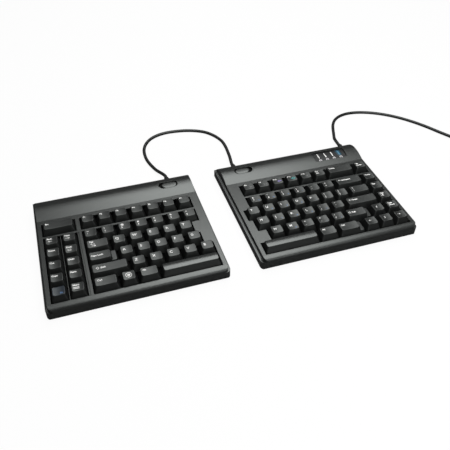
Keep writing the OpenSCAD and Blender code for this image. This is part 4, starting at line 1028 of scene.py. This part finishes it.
# %% [markdown]
# ## The indicator panel
# The sunk panel on the right hump carries four light bars. Three are plain white, yet they are given a
# faint painted glow; the fourth is lit blue, and a wide glowing patch round it paints the blue light it
# throws on the panel. In front of each bar a round pale sign is printed.
# The bars are rounded light pipes made on the curve of the hump, so they follow the panel from front
# to back.

# %% Light bars and their signs
def glowing(name, colour, strength):
    material = moulded(name, colour, 0.35, grain_mm=0.6, bump=0.05, spread=0.03)
    shader = material.node_tree.nodes["Principled BSDF"]
    shader.inputs["Emission Color"].default_value = (*colour, 1)
    shader.inputs["Emission Strength"].default_value = strength
    return material


# The white bars are given a faint emission, a painted glow that keeps them bright white.
bar_white_painted_glow = glowing("light_bar_white", (0.8, 0.8, 0.78), 0.2)
bar_blue = glowing("light_bar_blue", (0.08, 0.2, 0.29), 0.3)
# The blue glow is emitted by a wide patch laid round the fourth bar: painted blue light on the panel.
painted_blue_glow = glowing("blue_glow", (0.012, 0.045, 0.072), 0.5)
PANEL_SINK, PANEL_T = 1.7, 1.6
bars_low, bars_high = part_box("indicator_lights")
BAR_PITCH, BAR_W, BAR_BACK = 9.9, 1.5, 1.6
bar_front, bar_rear = bars_low.y / MM + BAR_BACK, bars_high.y / MM + BAR_BACK
first_bar = (bars_low.x + bars_high.x) / 2 / MM - 1.5 * BAR_PITCH

panel_low, panel_high = (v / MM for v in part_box("indicator_panel"))
PANEL_STEPS = 24
rings = []
for i in range(PANEL_STEPS + 1):
    y = panel_low.y + (panel_high.y - panel_low.y) * i / PANEL_STEPS
    top, under = (hump_height(y, depth) for depth in (PANEL_SINK, PANEL_SINK + PANEL_T))
    rings.append([(panel_high.x, y, top), (panel_low.x, y, top),
                  (panel_low.x, y, under), (panel_high.x, y, under)])
verts, faces = stacked(rings)
panel = piece_from("indicator_plate", [v * MM for v in verts], faces, [panel_black])
panel.data.set_sharp_from_angle(angle=math.radians(40))
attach(panel, "right_half")
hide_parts("indicator_panel")


def light_bar(x, y0, y1, width, rise=0.35, root=0.3):
    """Half-round rod that follows the hump and dips at both ends."""
    steps, sides = 16, 8
    verts, faces = [], []
    for i in range(steps + 1):
        y = y0 + (y1 - y0) * i / steps
        shrink = math.sqrt(max(0.0, 1 - (2 * i / steps - 1) ** 8))
        base = hump_height(y, PANEL_SINK)
        for k in range(sides + 1):
            angle = math.pi * k / sides
            verts.append(Vector((x + width / 2 * shrink * math.cos(angle), y,
                                 base - root + (root + rise * shrink) * math.sin(angle))) * MM)
    n = sides + 1
    for i in range(steps):
        for k in range(sides):
            faces.append((i * n + k, i * n + k + 1, (i + 1) * n + k + 1, (i + 1) * n + k))
        faces.append((i * n + sides, i * n, (i + 1) * n, (i + 1) * n + sides))
    return verts, faces


for i in range(4):
    form = light_bar(first_bar + i * BAR_PITCH, bar_front, bar_rear, BAR_W)
    bar = piece_from(f"light_bar_{i + 1}", *form, [bar_blue if i == 3 else bar_white_painted_glow])
    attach(bar, "right_half")
    if i == 0:
        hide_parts("indicator_lights")

SIGNS = ([text("A", 2.2, -0.75, -0.8, DARK)], [text("1", 2.2, -0.6, -0.8, DARK)],
         arrow(0, -1, 0, 0, 0.9, DARK), [circle(0.6, 0, 0, 0.5, DARK)])
SIGN_R, SIGN_FRONT = 2.2, 3.5
GLOW_W, GLOW_FRONT, GLOW_REAR, GLOW_T = 9.0, 1.0, 1.5, 0.1


def on_panel(flat, flat_faces, x, y, rise):
    """Lays flat faces on the panel's curve as a thin plate."""
    return thicken([Vector((v[0] + x, v[1] + y, 0)) for v in flat], flat_faces,
                   lambda px, py: hump_height(py, PANEL_SINK), rise)


def fan(ring):
    """Triangles from the middle of a ring, so that a disc can follow a curve."""
    n = len(ring)
    return [(0, 0)] + [(0.5 * x, 0.5 * y) for x, y in ring] + list(ring), (
        [(0, 1 + k, 1 + (k + 1) % n) for k in range(n)]
        + [(1 + k, 1 + n + k, 1 + n + (k + 1) % n, 1 + (k + 1) % n) for k in range(n)])


parts = []
for i, marks in enumerate(SIGNS):
    x, y = first_bar + i * BAR_PITCH, bar_front - SIGN_FRONT
    layers = [(*fan(oval(2 * SIGN_R, 2 * SIGN_R)), PALE, INK_T)]
    layers += [(*mark_faces(mark), 2 * INK_T) for mark in marks]
    for flat, flat_faces, colour, rise in layers:
        verts, faces = on_panel(flat, flat_faces, x, y, rise)
        parts.append((verts, faces, [colour] * len(faces), Vector()))
verts, faces, slots = gathered(parts)
# The glow patch is a low wide rod round the blue bar, made to emit the painted blue light.
form = light_bar(first_bar + 3 * BAR_PITCH, bar_front - GLOW_FRONT, bar_rear + GLOW_REAR, GLOW_W, GLOW_T)
glow = piece_from("painted_blue_glow_patch", *form, [painted_blue_glow])
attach(glow, "right_half")
signs = piece_from("indicator_signs", verts, faces, inks[:RIDGE], smooth=False)
signs.data.polygons.foreach_set("material_index", slots)
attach(signs, "right_half")
print("indicator signs:", len(faces), "faces")

# %% [markdown]
# ## Floor and light
# The studio is a white desk with hardly a shadow. The floor is pale, and for the camera most of it
# is replaced by plain white, so a soft contact shadow stays. One long softbox hangs over the keyboard.
# It is made of three panels, one over another, so that it is hot in the middle and falls off towards
# its edges, as a real softbox does; its mirror image is the grey sheen on the tops. A weak card low in
# front lifts the walls that face the viewer, and a low white world fills in the rest.

# %% Floor
FLOOR_R = 4.0
corners = [(x * FLOOR_R, y * FLOOR_R, 0) for x, y in ((-1, -1), (1, -1), (1, 1), (-1, 1))]
floor = piece_from("floor", corners, [(0, 1, 2, 3)], smooth=False)
floor_white = bpy.data.materials.new("floor_white")
floor_white.use_nodes = True
tree = floor_white.node_tree
floor_shader = tree.nodes["Principled BSDF"]
FLOOR_PALE, FLOOR_IN_SHEEN, FLOOR_SEEN_WHITE = 0.85, 0.08, 0.94
floor_shader.inputs["Roughness"].default_value = 0.9
floor_shader.inputs["Specular IOR Level"].default_value = 0.0
plain = node_of(tree, "ShaderNodeEmission", {"Strength": 1.0})
rays = node_of(tree, "ShaderNodeLightPath")
share = node_of(tree, "ShaderNodeMath", {1: FLOOR_SEEN_WHITE}, operation="MULTIPLY")
mixer = node_of(tree, "ShaderNodeMixShader")
pale = node_of(tree, "ShaderNodeMix", data_type="RGBA")
for socket, grey in (("A", FLOOR_PALE), ("B", FLOOR_IN_SHEEN)):
    pale.inputs[socket].default_value = (grey, grey, grey, 1)
wire(rays, "Is Glossy Ray", pale, "Factor")
wire(pale, "Result", floor_shader, "Base Color")
wire(rays, "Is Camera Ray", share, 0)
wire(share, "Value", mixer, "Fac")
wire(floor_shader, "BSDF", mixer, 1)
wire(plain, "Emission", mixer, 2)
wire(mixer, "Shader", tree.nodes["Material Output"], "Surface")
floor.data.materials.append(floor_white)
print("floor of", 2 * FLOOR_R, "m")

# %% Lamps and world
def lamp(name, place, target, size, watts):
    data = bpy.data.lights.new(name, "AREA")
    data.shape = "RECTANGLE"
    data.size, data.size_y = size
    data.energy = watts
    obj = bpy.data.objects.new(name, data)
    bpy.context.scene.collection.objects.link(obj)
    obj.location = place
    obj.rotation_mode = "QUATERNION"
    obj.rotation_quaternion = (Vector(target) - Vector(place)).to_track_quat("-Z", "Y")
    return obj


LAMP_X, LAMP_Y, LAMP_Z, LAMP_DEEP, LAMP_GLOW = 0.21, 0.0, 0.92, 1.86, 3.95
PANELS, PANEL_APART = ((0.5, 0.45), (0.82, 0.44), (1.15, 0.11)), 0.01
for i, (width, part) in enumerate(PANELS):
    lamp(f"softbox_{i + 1}", (LAMP_X, LAMP_Y, LAMP_Z + PANEL_APART * i), (LAMP_X, LAMP_Y, 0),
         (width, LAMP_DEEP), math.pi * width * LAMP_DEEP * LAMP_GLOW * part)

CARD_PLACE, CARD_AIM = (0.16, -0.6, 0.25), (0.02, -0.08, 0.01)
CARD_W, CARD_TALL, CARD_GLOW = 0.5, 0.25, 1.0
lamp("front_card", CARD_PLACE, CARD_AIM, (CARD_W, CARD_TALL), math.pi * CARD_W * CARD_TALL * CARD_GLOW)

WORLD_FILL = 0.09
world = bpy.data.worlds.new("studio")
bpy.context.scene.world = world
world.use_nodes = True
tree = world.node_tree
backdrop = tree.nodes["Background"]
backdrop.inputs["Color"].default_value = (1, 1, 1, 1)
rays = node_of(tree, "ShaderNodeLightPath")
strength = node_of(tree, "ShaderNodeMapRange", {"To Min": WORLD_FILL, "To Max": 1.0})
wire(rays, "Is Camera Ray", strength, "Value")
wire(strength, "Result", backdrop, "Strength")
bpy.context.scene.view_settings.view_transform = "Standard"
